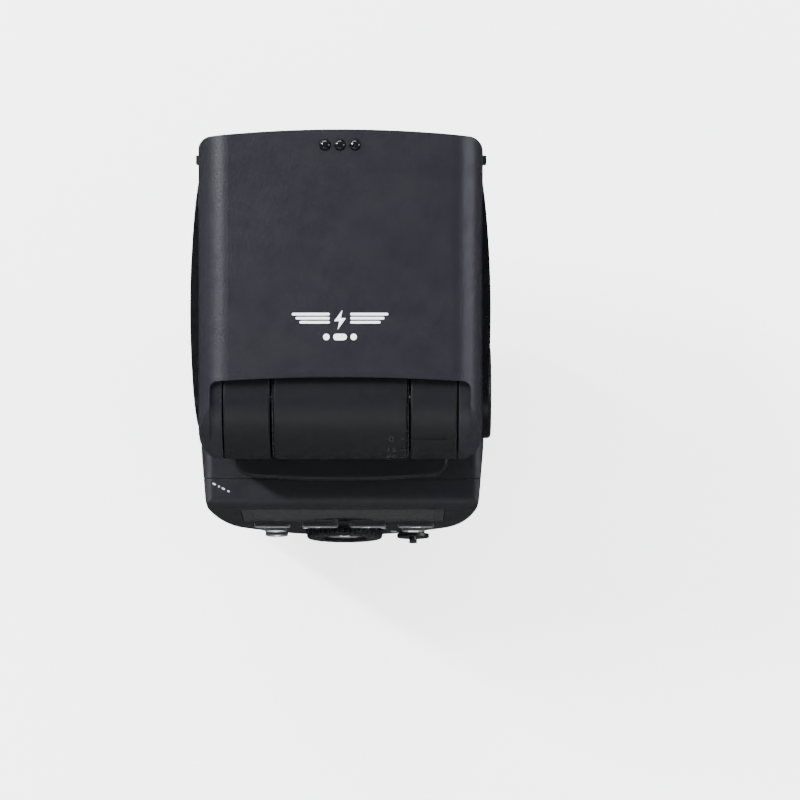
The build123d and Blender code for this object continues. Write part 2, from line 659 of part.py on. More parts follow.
def round_key(name, across, up, radius, proud=KEY_PROUD):
    """A round push key through the control panel, with a flange behind it."""
    with BuildPart() as key:
        with BuildSketch(panel_plane(across, up, KEY_FLANGE)):
            Circle(radius + 0.9)
        extrude(amount=0.8)
        with BuildSketch(panel_plane(across, up, KEY_FLANGE)):
            Circle(radius)
        extrude(amount=proud - KEY_FLANGE)
        fillet(key.faces().sort_by(Axis.Y)[-1].edges(), 0.35)
    save(key, name)


for number, key_x in enumerate((-1.5, -0.5, 0.5, 1.5), start=1):
    with BuildPart() as function_key:
        with BuildSketch(panel_plane(key_x * KEY_PITCH, KEY_UP, KEY_FLANGE)):
            Rectangle(KEY_WIDTH + 1.4, KEY_HEIGHT + 1.4)
        extrude(amount=0.8)
        with BuildSketch(panel_plane(key_x * KEY_PITCH, KEY_UP, KEY_FLANGE)):
            RectangleRounded(KEY_WIDTH, KEY_HEIGHT, 1.2)
        extrude(amount=KEY_PROUD - KEY_FLANGE)
        fillet(function_key.faces().sort_by(Axis.Y)[-1].edges(), 0.35)
    save(function_key, f"function_key_{number}")

round_key("wireless_key", -SIDE_KEY_X, DIAL_UP + 4.6, 2.9)
round_key("menu_key", SIDE_KEY_X, DIAL_UP + 4.6, 2.9)
round_key("test_fire_key", -SIDE_KEY_X, DIAL_UP - 5.4, 2.9)

with BuildPart() as select_dial:
    with BuildSketch(panel_plane(0, DIAL_UP, -0.8)):
        Circle(DIAL_R)
        Circle(DIAL_BORE, mode=Mode.SUBTRACT)
    extrude(amount=2.9)
    fillet(select_dial.faces().sort_by(Axis.Y)[-1].edges().sort_by(SortBy.LENGTH)[-1], 0.7)
    # Finger ribs round the rim
    with BuildSketch(panel_plane(0, DIAL_UP, 0.2)):
        with PolarLocations(DIAL_R + 0.12, 48):
            Circle(0.3)
    extrude(amount=3, mode=Mode.SUBTRACT)
save(select_dial, "select_dial")

with BuildPart() as set_key:
    with BuildSketch(panel_plane(0, DIAL_UP, KEY_FLANGE)):
        Circle(SET_R + 0.9)
    extrude(amount=0.8)
    with BuildSketch(panel_plane(0, DIAL_UP, KEY_FLANGE)):
        Circle(SET_R)
    extrude(amount=1.4 - KEY_FLANGE)
    fillet(set_key.faces().sort_by(Axis.Y)[-1].edges(), 0.5)
save(set_key, "set_key")

with BuildPart() as power_switch:
    with BuildSketch(panel_plane(SIDE_KEY_X, DIAL_UP - 5.4, KEY_FLANGE)):
        Circle(3.0)
    extrude(amount=0.3 - KEY_FLANGE)
    with BuildSketch(panel_plane(SIDE_KEY_X, DIAL_UP - 5.4, 0.3)):
        Circle(4.1)
    extrude(amount=0.9)
    with BuildSketch(panel_plane(SIDE_KEY_X, DIAL_UP - 5.4, 1.2)):
        SlotOverall(7.6, 2.0, rotation=90)
    extrude(amount=1.1)
save(power_switch, "power_switch")

# ---- Neck: swivels on the housing and carries the hinge shaft ----------------------------------------

BARREL_GAP = 0.4  # between the barrels and the recesses they turn in
STEM_HALF_Y = 12.0
CAVITY_R = 12.5
FLANGE, FLANGE_R = 0.5, 15.0  # flanges that fill most of the gap beside the middle barrel

with BuildPart() as swivel_bearing:
    with BuildSketch(Plane.XY.offset(BODY_TOP - 5.4)):
        Circle(SWIVEL_R + 4)
        Circle(SWIVEL_R + FIT, mode=Mode.SUBTRACT)
    extrude(amount=5.4 - WALL)
    with BuildSketch(Plane.XY.offset(BODY_TOP - WALL)):
        Circle(SWIVEL_R + 1.5)
        Circle(SWIVEL_R + FIT, mode=Mode.SUBTRACT)
    extrude(amount=WALL)
save(swivel_bearing, "swivel_bearing")

with BuildPart() as neck_yoke:
    with BuildSketch(Plane.XY.offset(PLATFORM_BOTTOM)) as platform:
        with BuildLine():
            Polyline(
                (LIP_HALF, LIP_REAR - 1.2), (LIP_HALF, -17), (15, -20), (-15, -20), (-LIP_HALF, -17),
                (-LIP_HALF, LIP_REAR - 1.2),
            )
            ThreePointArc(
                (-LIP_HALF, LIP_REAR - 1.2), (0, LIP_REAR), (LIP_HALF, LIP_REAR - 1.2)
            )
        make_face()
        fillet(platform.vertices().group_by(Axis.Y)[-1], 4.0)
        fillet(platform.vertices().filter_by(lambda v: v.Y < -10), 3.0)
    extrude(amount=LIP_TOP - PLATFORM_BOTTOM)
    # Clear everything above the platform except the lip behind the barrels
    add(box_between((-FAR, -FAR, PLATFORM_TOP), (FAR, 13.0, FAR)), mode=Mode.SUBTRACT)
    add(bar_along_x(-FAR, FAR, BARREL_R + BARREL_GAP), mode=Mode.SUBTRACT)
    fillet(neck_yoke.edges().filter_by_position(Axis.Z, LIP_TOP - 0.01, LIP_TOP + 0.01), 1.0)
    # Stem and the lower half of the middle barrel
    add(box_between((-NECK_HALF, -STEM_HALF_Y, PLATFORM_BOTTOM), (NECK_HALF, STEM_HALF_Y, 90)))
    with BuildSketch(side_plane(-NECK_HALF)):
        with Locations((0, PIVOT_Z)):
            Circle(BARREL_R)
        with Locations((0, PIVOT_Z + 20)):
            Rectangle(60, 40, mode=Mode.SUBTRACT)
    extrude(amount=2 * NECK_HALF)
    with BuildSketch(side_plane(-NECK_HALF - FLANGE)):
        with Locations((0, PIVOT_Z)):
            Circle(FLANGE_R)
        with Locations((0, PIVOT_Z + 20)):
            Rectangle(60, 40, mode=Mode.SUBTRACT)
    extrude(amount=2 * (NECK_HALF + FLANGE))
    with BuildSketch(Plane.XY.offset(SWIVEL_LOW)):
        Circle(SWIVEL_R)
    extrude(amount=PLATFORM_BOTTOM - SWIVEL_LOW)
    # Wiring passage from the swivel tube up into the barrel
    with BuildSketch(Plane.XY.offset(SWIVEL_LOW - 1)):
        Circle(SWIVEL_BORE)
    extrude(amount=PIVOT_Z - SWIVEL_LOW, mode=Mode.SUBTRACT)
    add(bar_along_x(-NECK_HALF + 2.4, NECK_HALF - 2.4, CAVITY_R), mode=Mode.SUBTRACT)
    add(bar_along_x(-FAR, FAR, SHAFT_R + FIT), mode=Mode.SUBTRACT)
    # Groove that the retaining ring snaps into
    with BuildSketch(Plane.XY.offset(SWIVEL_LOW + 0.8)):
        Circle(SWIVEL_R + 1)
        Circle(SWIVEL_R - 0.8, mode=Mode.SUBTRACT)
    extrude(amount=1.4, mode=Mode.SUBTRACT)
save(neck_yoke, "neck_yoke")

with BuildPart() as neck_cap:
    with BuildSketch(side_plane(-NECK_HALF)):
        with Locations((0, PIVOT_Z)):
            Circle(BARREL_R)
        with Locations((0, PIVOT_Z - 20 + 0.1)):
            Rectangle(60, 40, mode=Mode.SUBTRACT)
    extrude(amount=2 * NECK_HALF)
    fillet(neck_cap.edges().filter_by(GeomType.CIRCLE), 0.35)
    with BuildSketch(side_plane(-NECK_HALF - FLANGE)):
        with Locations((0, PIVOT_Z)):
            Circle(FLANGE_R)
        with Locations((0, PIVOT_Z - 20 + 0.1)):
            Rectangle(60, 40, mode=Mode.SUBTRACT)
    extrude(amount=2 * (NECK_HALF + FLANGE))
    add(bar_along_x(-NECK_HALF + 2.4, NECK_HALF - 2.4, CAVITY_R), mode=Mode.SUBTRACT)
    add(bar_along_x(-FAR, FAR, SHAFT_R + FIT), mode=Mode.SUBTRACT)
save(neck_cap, "neck_cap")

with BuildPart() as swivel_retainer:
    with BuildSketch(Plane.XY.offset(SWIVEL_LOW + 0.9)):
        Circle(SWIVEL_R + 1.8)
        Circle(SWIVEL_R - 0.8, mode=Mode.SUBTRACT)
        with Locations((SWIVEL_R, 0)):
            Rectangle(8, 3.0, mode=Mode.SUBTRACT)
    extrude(amount=1.2)
save(swivel_retainer, "swivel_retainer")

# ---- Head: shells, hinge barrels and trim ------------------------------------------------------------

RECESS_R = BARREL_R + BARREL_GAP
WEB_X = 29.9  # inner side of the ears' cavities
BUTTON_R = 11.0
RIM = 0.05  # the bezel's clearance inside the shells
HEAD_FLOOR = HEAD_BOTTOM + WALL

with BuildPart() as head_cavity:
    add(head_inner)
    extrude(head_front_view(WALL, -50), amount=FAR / 2)
    add(bar_along_x(-WEB_X, WEB_X, RECESS_R + 2.0), mode=Mode.SUBTRACT)
    add(box_between((-FAR, LID_REAR - LID_BOW - WALL, PIVOT_Z), (FAR, FAR, FAR)), mode=Mode.SUBTRACT)
    add(box_between((-WEB_X, -18, 0), (WEB_X, FAR, FAR)), mode=Mode.SUBTRACT)
    for side in (-1, 1):
        start = min(side * WEB_X, side * (HEAD_HALF - WALL))
        add(bar_along_x(start, start + HEAD_HALF - WALL - WEB_X, BARREL_R - WALL))

with BuildPart() as lid_step:
    # What is cut away behind the lid's bowed rear edge, down to the level of the barrels
    with BuildSketch(Plane.XY.offset(PIVOT_Z)) as behind_lid:
        with BuildLine():
            ThreePointArc((-STEP_HALF, LID_REAR), (0, LID_REAR - LID_BOW), (STEP_HALF, LID_REAR))
            Polyline((STEP_HALF, LID_REAR), (STEP_HALF, 30), (-STEP_HALF, 30), (-STEP_HALF, LID_REAR))
        make_face()
        fillet(behind_lid.vertices().group_by(Axis.Y)[-2], 2.0)
    extrude(amount=30)
    add(bar_along_x(-FAR, FAR, BARREL_R), mode=Mode.SUBTRACT)

with BuildPart() as head_solid:
    add(head_outer)
    # Lugs that hold a bounce adapter
    for side in (-1, 1):
        start = min(side * (HEAD_HALF - 1), side * (HEAD_HALF + 1))
        add(box_between((start, -56.6, 86.5), (start + 2, -54.6, 93.5)))
    add(head_cavity.part, mode=Mode.SUBTRACT)
    add(bar_along_x(-EAR_IN, EAR_IN, RECESS_R), mode=Mode.SUBTRACT)
    add(lid_step.part, mode=Mode.SUBTRACT)
    add(box_between((-EAR_IN, 0, 0), (EAR_IN, FAR, FAR)), mode=Mode.SUBTRACT)
    # Room for the neck's stem
    add(box_between((-NECK_HALF - 0.8, -13.5, 0), (NECK_HALF + 0.8, 5, PIVOT_Z)), mode=Mode.SUBTRACT)
    add(bar_along_x(-FAR, FAR, SHAFT_R), mode=Mode.SUBTRACT)
    add(bar_along_x(-FAR, -HEAD_HALF + WALL + 0.1, BUTTON_R + GAP), mode=Mode.SUBTRACT)

with BuildPart() as head_top_shell:
    add(head_solid.part)
    add(box_between((-FAR, -FAR, PIVOT_Z + 0.06), (FAR, FAR, FAR)), mode=Mode.INTERSECT)
    with BuildSketch(Plane.XY.offset(HEAD_TOP - 4)):
        with Locations((0, STUD_Y)):
            with GridLocations(STUD_PITCH, 0, 3, 1):
                Circle(STUD_R)
    extrude(amount=8, mode=Mode.SUBTRACT)
save(head_top_shell, "head_top_shell")

with BuildPart() as head_bottom_shell:
    add(head_solid.part)
    add(box_between((-FAR, -FAR, 0), (FAR, FAR, PIVOT_Z - 0.06)), mode=Mode.INTERSECT)
    with BuildSketch(Plane.XY.offset(HEAD_BOTTOM - 1)):
        with Locations((-14, -26), (14, -26)):
            Circle(SCREW_R)
    extrude(amount=6, mode=Mode.SUBTRACT)
    with BuildSketch(Plane.XY.offset(HEAD_BOTTOM - 1)):
        with Locations((-14, -26), (14, -26)):
            Circle(2.1)
    extrude(amount=1.9, mode=Mode.SUBTRACT)
save(head_bottom_shell, "head_bottom_shell")

for name, side in (("left_barrel", 1), ("right_barrel", -1)):
    inner_end, outer_end = sorted((side * BARREL_IN, side * BARREL_OUT))
    with BuildPart() as barrel:
        add(bar_along_x(inner_end, outer_end, BARREL_R))
        fillet(barrel.edges().filter_by(GeomType.CIRCLE), 0.4)
        add(
            bar_along_x(
                min(side * BARREL_IN, side * (BARREL_OUT - 2.2)),
                max(side * BARREL_IN, side * (BARREL_OUT - 2.2)),
                BARREL_R - 2.2,
            ),
            mode=Mode.SUBTRACT,
        )
        add(bar_along_x(min(side * 20, side * EAR_IN), max(side * 20, side * EAR_IN), 8.0))
        add(bar_along_x(-FAR, FAR, SHAFT_R), mode=Mode.SUBTRACT)
        if side < 0:
            # Index groove that the angle scale is read against
            groove_turn = math.radians(44)
            groove_spot = (BARREL_R * math.sin(groove_turn), PIVOT_Z + BARREL_R * math.cos(groove_turn))
            add(bar_along_x(-25.0, -BARREL_IN, 0.45, *groove_spot), mode=Mode.SUBTRACT)
    save(barrel, name)

with BuildPart() as hinge_shaft:
    add(bar_along_x(-31.0, 31.0, SHAFT_R))
    add(bar_along_x(-31.0, -24.0, 1.5 + FIT), mode=Mode.SUBTRACT)
    chamfer(hinge_shaft.faces().sort_by(Axis.X)[-1].edges(), 0.4)
save(hinge_shaft, "hinge_shaft")

with BuildPart() as bounce_release_button:
    add(bar_along_x(-35.7, -31.5, BUTTON_R))
    fillet(bounce_release_button.faces().sort_by(Axis.X)[0].edges(), 0.9)
    add(bar_along_x(-31.5, -30.9, BUTTON_R + 1.2))
    add(bar_along_x(-33.6, -30.8, BUTTON_R - 2.0), mode=Mode.SUBTRACT)
    add(bar_along_x(-34.5, -27.0, 1.5))
save(bounce_release_button, "bounce_release_button")

for name, side in (("side_panel_left", 1), ("side_panel_right", -1)):
    with BuildPart() as side_panel:
        with BuildSketch(Plane.XY.offset(82.0)):
            with BuildLine():
                ThreePointArc(
                    (side * 33.4, -52.0), (side * 35.4, -24.0 - 3.0), (side * 33.9, 9.0)
                )
                Polyline((side * 33.9, 9.0), (side * 31.0, 9.0), (side * 31.0, -52.0), (side * 33.4, -52.0))
            make_face()
        extrude(amount=26.0)
        with BuildSketch(side_plane(-FAR / 2)):
            with Locations((-22.0, 95.0)):
                RectangleRounded(60.0, 22.0, 9.0)
        extrude(amount=FAR, mode=Mode.INTERSECT)
        add(head_outer, mode=Mode.SUBTRACT)
        if side < 0:
            add(bar_along_x(-FAR, 0, BUTTON_R + GAP), mode=Mode.SUBTRACT)
            add(box_between((-FAR, 0, 0), (0, FAR, FAR)), mode=Mode.SUBTRACT)
    save(side_panel, name)

with BuildPart() as grip_studs:
    with BuildSketch(Plane.XY.offset(HEAD_TOP - WALL + 0.1)):
        with Locations((0, STUD_Y)):
            with GridLocations(STUD_PITCH, 0, 3, 1):
                Circle(STUD_R)
    extrude(amount=WALL + 0.6)
    fillet(grip_studs.faces().group_by(Axis.Z)[-1].edges(), 1.0)
save(grip_studs, "grip_studs")

with BuildPart() as front_bezel:
    extrude(head_front_view(WALL + RIM, -57.6), amount=6)
    add(head_form(0.5), mode=Mode.INTERSECT)
    with BuildSketch(cross_plane(-57)):
        with Locations((0, (WINDOW_LOW + WINDOW_HIGH) / 2)):
            RectangleRounded(2 * WINDOW_HALF, WINDOW_HIGH - WINDOW_LOW, 2.5)
        with Locations((0, (SLOT_LOW + SLOT_HIGH) / 2)):
            Rectangle(2 * SLOT_HALF, SLOT_HIGH - SLOT_LOW)
    extrude(amount=6, mode=Mode.SUBTRACT)
    with BuildSketch(cross_plane(-57)):
        with Locations((0, (WINDOW_LOW + WINDOW_HIGH) / 2)):
            RectangleRounded(2 * WINDOW_HALF + 2, WINDOW_HIGH - WINDOW_LOW + 2, 3.0)
    extrude(amount=1.6, mode=Mode.SUBTRACT)
save(front_bezel, "front_bezel")

with BuildPart() as fresnel_panel:
    with BuildSketch(cross_plane(-57.6)):
        with Locations((0, (WINDOW_LOW + WINDOW_HIGH) / 2)):
            RectangleRounded(2 * WINDOW_HALF - 0.1, WINDOW_HIGH - WINDOW_LOW - 0.1, 2.45)
    extrude(amount=6)
    add(head_form(0.9), mode=Mode.INTERSECT)
    with BuildSketch(cross_plane(-57.6)):
        with Locations((0, (WINDOW_LOW + WINDOW_HIGH) / 2)):
            RectangleRounded(2 * WINDOW_HALF + 1.9, WINDOW_HIGH - WINDOW_LOW + 1.9, 2.95)
    extrude(amount=1.0)
save(fresnel_panel, "fresnel_panel")

# ---- Pull-out panels ---------------------------------------------------------------------------------

with BuildPart() as panel_tray:
    add(box_between((-28.0, -57.5, SLOT_LOW - 1.0), (28.0, -20.5, SLOT_LOW)))
    for side in (-1, 1):
        start = min(side * (SLOT_HALF - 0.2), side * 28.0)
        add(box_between((start, -57.5, SLOT_LOW), (start + 1.4, -20.5, SLOT_HIGH - 1.2)))
    add(box_between((-28.0, -22.0, SLOT_LOW), (28.0, -20.5, SLOT_HIGH - 0.6)))
save(panel_tray, "panel_tray")

with BuildPart() as wide_panel:
    add(box_between((-PANEL_HALF, -60.4, SLOT_LOW + 0.3), (PANEL_HALF, -60.4 + PANEL_LENGTH, SLOT_LOW + 1.3)))
    fillet(wide_panel.edges().filter_by(Axis.Z), 1.5)
save(wide_panel, "wide_panel")

with BuildPart() as catchlight_panel:
    add(box_between((-24.0, -60.6, SLOT_LOW + 1.6), (24.0, -60.6 + PANEL_LENGTH, SLOT_LOW + 2.3)))
    fillet(catchlight_panel.edges().filter_by(Axis.Z), 1.5)
save(catchlight_panel, "catchlight_panel")

# ---- Zoom mechanism inside the head ------------------------------------------------------------------

ROD_X, ROD_LOW, ROD_HIGH, ROD_R = -28.0, 84.5, 103.5, 1.2
SCREW_X, SCREW_Z, SCREW_THREAD_R = 28.0, 84.5, 1.4
FRAME_FRONT, FRAME_BACK = -20.9, -19.5
REFLECTOR_FRONT, REFLECTOR_DEPTH = -56.0, 14.0
REFLECTOR_HALF, REFLECTOR_LOW, REFLECTOR_HIGH = 24.0, 82.2, 105.0
TUBE_R = 2.1
TUBE_Z = (REFLECTOR_LOW + REFLECTOR_HIGH) / 2
TUBE_Y = REFLECTOR_FRONT + REFLECTOR_DEPTH - 4.2

with BuildPart() as zoom_frame:
    add(box_between((-29.8, FRAME_FRONT, HEAD_FLOOR + 2), (29.8, FRAME_BACK, 106.2)))
    add(box_between((-17.0, -29.0, HEAD_FLOOR), (17.0, -23.7, HEAD_FLOOR + 3.4)))
    add(box_between((-17.0, -24.0, HEAD_FLOOR + 2), (17.0, FRAME_BACK, HEAD_FLOOR + 3.4)))
    add(bar_along_y(FRAME_FRONT - 1, FRAME_BACK + 1, ROD_R, ROD_X, ROD_LOW), mode=Mode.SUBTRACT)
    add(bar_along_y(FRAME_FRONT - 1, FRAME_BACK + 1, ROD_R, ROD_X, ROD_HIGH), mode=Mode.SUBTRACT)
    with BuildSketch(Plane.XY.offset(HEAD_FLOOR - 1)):
        with Locations((-14, -26), (14, -26)):
            Circle(SCREW_R - 0.1)
    extrude(amount=6, mode=Mode.SUBTRACT)
save(zoom_frame, "zoom_frame")

with BuildPart() as head_screws:
    with BuildSketch(Plane.XY.offset(HEAD_BOTTOM + 0.1)):
        with Locations((-14, -26), (14, -26)):
            Circle(2.0)
    extrude(amount=0.8)
    with BuildSketch(Plane.XY.offset(HEAD_BOTTOM + 0.1)):
        with Locations((-14, -26), (14, -26)):
            Circle(SCREW_R - 0.1)
    extrude(amount=3.9)
    with BuildSketch(Plane.XY.offset(HEAD_BOTTOM + 0.1)):
        with Locations((-14, -26), (14, -26)):
            Rectangle(2.4, 0.5)
            Rectangle(0.5, 2.4)
    extrude(amount=0.5, mode=Mode.SUBTRACT)
save(head_screws, "head_screws")

with BuildPart() as guide_rods:
    add(bar_along_y(-57.4, FRAME_BACK, ROD_R, ROD_X, ROD_LOW))
    add(bar_along_y(-57.4, FRAME_BACK, ROD_R, ROD_X, ROD_HIGH))
save(guide_rods, "guide_rods")

with BuildPart() as zoom_motor:
    add(bar_along_y(-30.0, FRAME_FRONT, 2.4, SCREW_X, SCREW_Z))
    add(bar_along_y(-31.2, -30.0, 1.7, SCREW_X, SCREW_Z))
    add(bar_along_y(-32.0, -29.0, 0.75 + FIT, SCREW_X, SCREW_Z), mode=Mode.SUBTRACT)
save(zoom_motor, "zoom_motor")

with BuildPart() as lead_screw:
    add(bar_along_y(-57.0, -31.5, SCREW_THREAD_R, SCREW_X, SCREW_Z))
    add(bar_along_y(-32.0, -29.3, 0.75, SCREW_X, SCREW_Z))
    for turn in range(12):
        ring_y = -56.0 + 2.0 * turn
        ring = bar_along_y(ring_y, ring_y + 0.9, SCREW_THREAD_R + 1, SCREW_X, SCREW_Z)
        core = bar_along_y(ring_y, ring_y + 0.9, SCREW_THREAD_R - 0.35, SCREW_X, SCREW_Z)
        add(ring - core, mode=Mode.SUBTRACT)
save(lead_screw, "lead_screw")

with BuildPart() as trigger_board:
    add(box_between((-23.0, FRAME_FRONT - 1.2, 82.6), (23.0, FRAME_FRONT, 105.0)))
    add(box_between((-16.0, FRAME_FRONT - 2.6, 96.0), (-6.0, FRAME_FRONT - 1.2, 103.0)))
    add(box_between((4.0, FRAME_FRONT - 2.2, 88.0), (14.0, FRAME_FRONT - 1.2, 93.0)))
save(trigger_board, "trigger_board")

with BuildPart() as reflector:
    # A trough along X with closed ends, open at the front
    for inset, mode in ((0.0, Mode.ADD), (0.7, Mode.SUBTRACT)):
        low, high = REFLECTOR_LOW + inset, REFLECTOR_HIGH - inset
        back = REFLECTOR_FRONT + REFLECTOR_DEPTH - inset
        with BuildSketch(side_plane(-REFLECTOR_HALF + inset)):
            with BuildLine():
                Spline(
                    (REFLECTOR_FRONT, low), (back - 4.0, low + 4.6), (back, TUBE_Z),
                    (back - 4.0, high - 4.6), (REFLECTOR_FRONT, high),
                )
                Line((REFLECTOR_FRONT, high), (REFLECTOR_FRONT, low))
            make_face()
        extrude(amount=2 * (REFLECTOR_HALF - inset), mode=mode)
    add(bar_along_x(-FAR, FAR, TUBE_R + 0.6, y=TUBE_Y, z=TUBE_Z), mode=Mode.SUBTRACT)
save(reflector, "reflector")

with BuildPart() as zoom_carriage:
    for side in (-1, 1):
        inner = side * REFLECTOR_HALF
        outer = side * (REFLECTOR_HALF + 1.2)
        add(box_between((min(inner, outer), -54.0, 83.0), (max(inner, outer), -40.6, 104.2)))
    add(box_between((-25.2, -41.8, 90.5), (25.2, -40.6, 96.5)))
    for rod_z in (ROD_LOW, ROD_HIGH):
        add(bar_along_y(-52.0, -43.0, ROD_R + 1.3, ROD_X, rod_z))
        add(box_between((ROD_X, -52.0, rod_z - 1.2), (-24.2, -43.0, rod_z + 1.2)))
        add(bar_along_y(-FAR, 0, ROD_R + FIT, ROD_X, rod_z), mode=Mode.SUBTRACT)
    add(bar_along_y(-53.0, -48.0, 2.7, SCREW_X, SCREW_Z))
    add(box_between((24.2, -53.0, SCREW_Z - 1.2), (SCREW_X, -48.0, SCREW_Z + 1.2)))
    add(bar_along_y(-FAR, 0, SCREW_THREAD_R + FIT, SCREW_X, SCREW_Z), mode=Mode.SUBTRACT)
    add(bar_along_x(-FAR, FAR, TUBE_R, y=TUBE_Y, z=TUBE_Z), mode=Mode.SUBTRACT)
save(zoom_carriage, "zoom_carriage")

with BuildPart() as flash_tube:
    add(bar_along_x(-26.6, 26.6, TUBE_R, y=TUBE_Y, z=TUBE_Z))
    fillet(flash_tube.edges(), 0.8)
save(flash_tube, "flash_tube")
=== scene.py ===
"""Looks for a shoe-mount speedlight flash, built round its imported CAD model.

+Z is up, the light leaves the head towards -Y and the controls face +Y. Everything is in metres.
"""

import math

import bmesh
import bpy
from mathutils import Matrix, Vector
from mathutils.bvhtree import BVHTree


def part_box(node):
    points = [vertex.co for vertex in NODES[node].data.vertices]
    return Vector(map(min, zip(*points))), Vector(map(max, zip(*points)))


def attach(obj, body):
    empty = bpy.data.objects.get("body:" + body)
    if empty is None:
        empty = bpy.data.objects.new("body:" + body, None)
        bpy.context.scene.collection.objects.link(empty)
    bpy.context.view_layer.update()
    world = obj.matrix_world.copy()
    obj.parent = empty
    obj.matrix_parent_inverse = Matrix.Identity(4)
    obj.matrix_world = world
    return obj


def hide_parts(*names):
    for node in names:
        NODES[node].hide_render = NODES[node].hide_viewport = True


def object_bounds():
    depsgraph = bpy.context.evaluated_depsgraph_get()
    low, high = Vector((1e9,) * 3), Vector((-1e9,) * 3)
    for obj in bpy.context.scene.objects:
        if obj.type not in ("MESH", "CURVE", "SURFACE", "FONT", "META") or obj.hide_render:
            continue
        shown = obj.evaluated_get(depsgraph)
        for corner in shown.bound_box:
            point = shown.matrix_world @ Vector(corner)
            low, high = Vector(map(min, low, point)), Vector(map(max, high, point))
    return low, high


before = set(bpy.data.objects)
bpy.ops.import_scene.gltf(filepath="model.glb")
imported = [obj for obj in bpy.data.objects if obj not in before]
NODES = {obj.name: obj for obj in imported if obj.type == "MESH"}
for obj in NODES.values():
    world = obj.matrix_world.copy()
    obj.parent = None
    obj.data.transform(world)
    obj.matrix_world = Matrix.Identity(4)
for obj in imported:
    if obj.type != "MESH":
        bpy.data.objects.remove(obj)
CAD_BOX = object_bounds()
MM = 0.001

# ---- Measures taken from the CAD model ---------------------------------------------------------------

PIVOT = Vector((0, 0, 94.5 * MM))  # on the tilt hinge's axis, which lies along X
BARREL_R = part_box("neck_cap")[1].z - PIVOT.z
LID_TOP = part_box("head_top_shell")[1].z
LID_ARC = 0.5 * MM  # how much the lid's top falls from the middle to its sides
LID_HALF = 33.25 * MM
INDEX_TURN = math.radians(44)  # where the index groove stands, from the top towards the rear

PANEL_LEAN, PANEL_RISE = 8.6 * MM, 57.5 * MM  # how far the control panel leans forwards, and its height
PANEL_FOOT_Y, PANEL_FOOT_Z, PANEL_MID_Z = 36.6 * MM, 18 * MM, 46 * MM
PANEL_MID_Y = PANEL_FOOT_Y - PANEL_LEAN * (PANEL_MID_Z - PANEL_FOOT_Z) / PANEL_RISE
PANEL_MID = Vector((0, PANEL_MID_Y, PANEL_MID_Z))
PANEL_SLOPE = math.atan2(PANEL_LEAN, PANEL_RISE)
PANEL_OUT = Vector((0, math.cos(PANEL_SLOPE), math.sin(PANEL_SLOPE)))
PANEL_UP = Vector((0, -math.sin(PANEL_SLOPE), math.cos(PANEL_SLOPE)))
PANEL_RIGHT = Vector((-1, 0, 0))

PRINT = 0.03 * MM  # how thick a print is


# ---- Node materials ----------------------------------------------------------------------------------


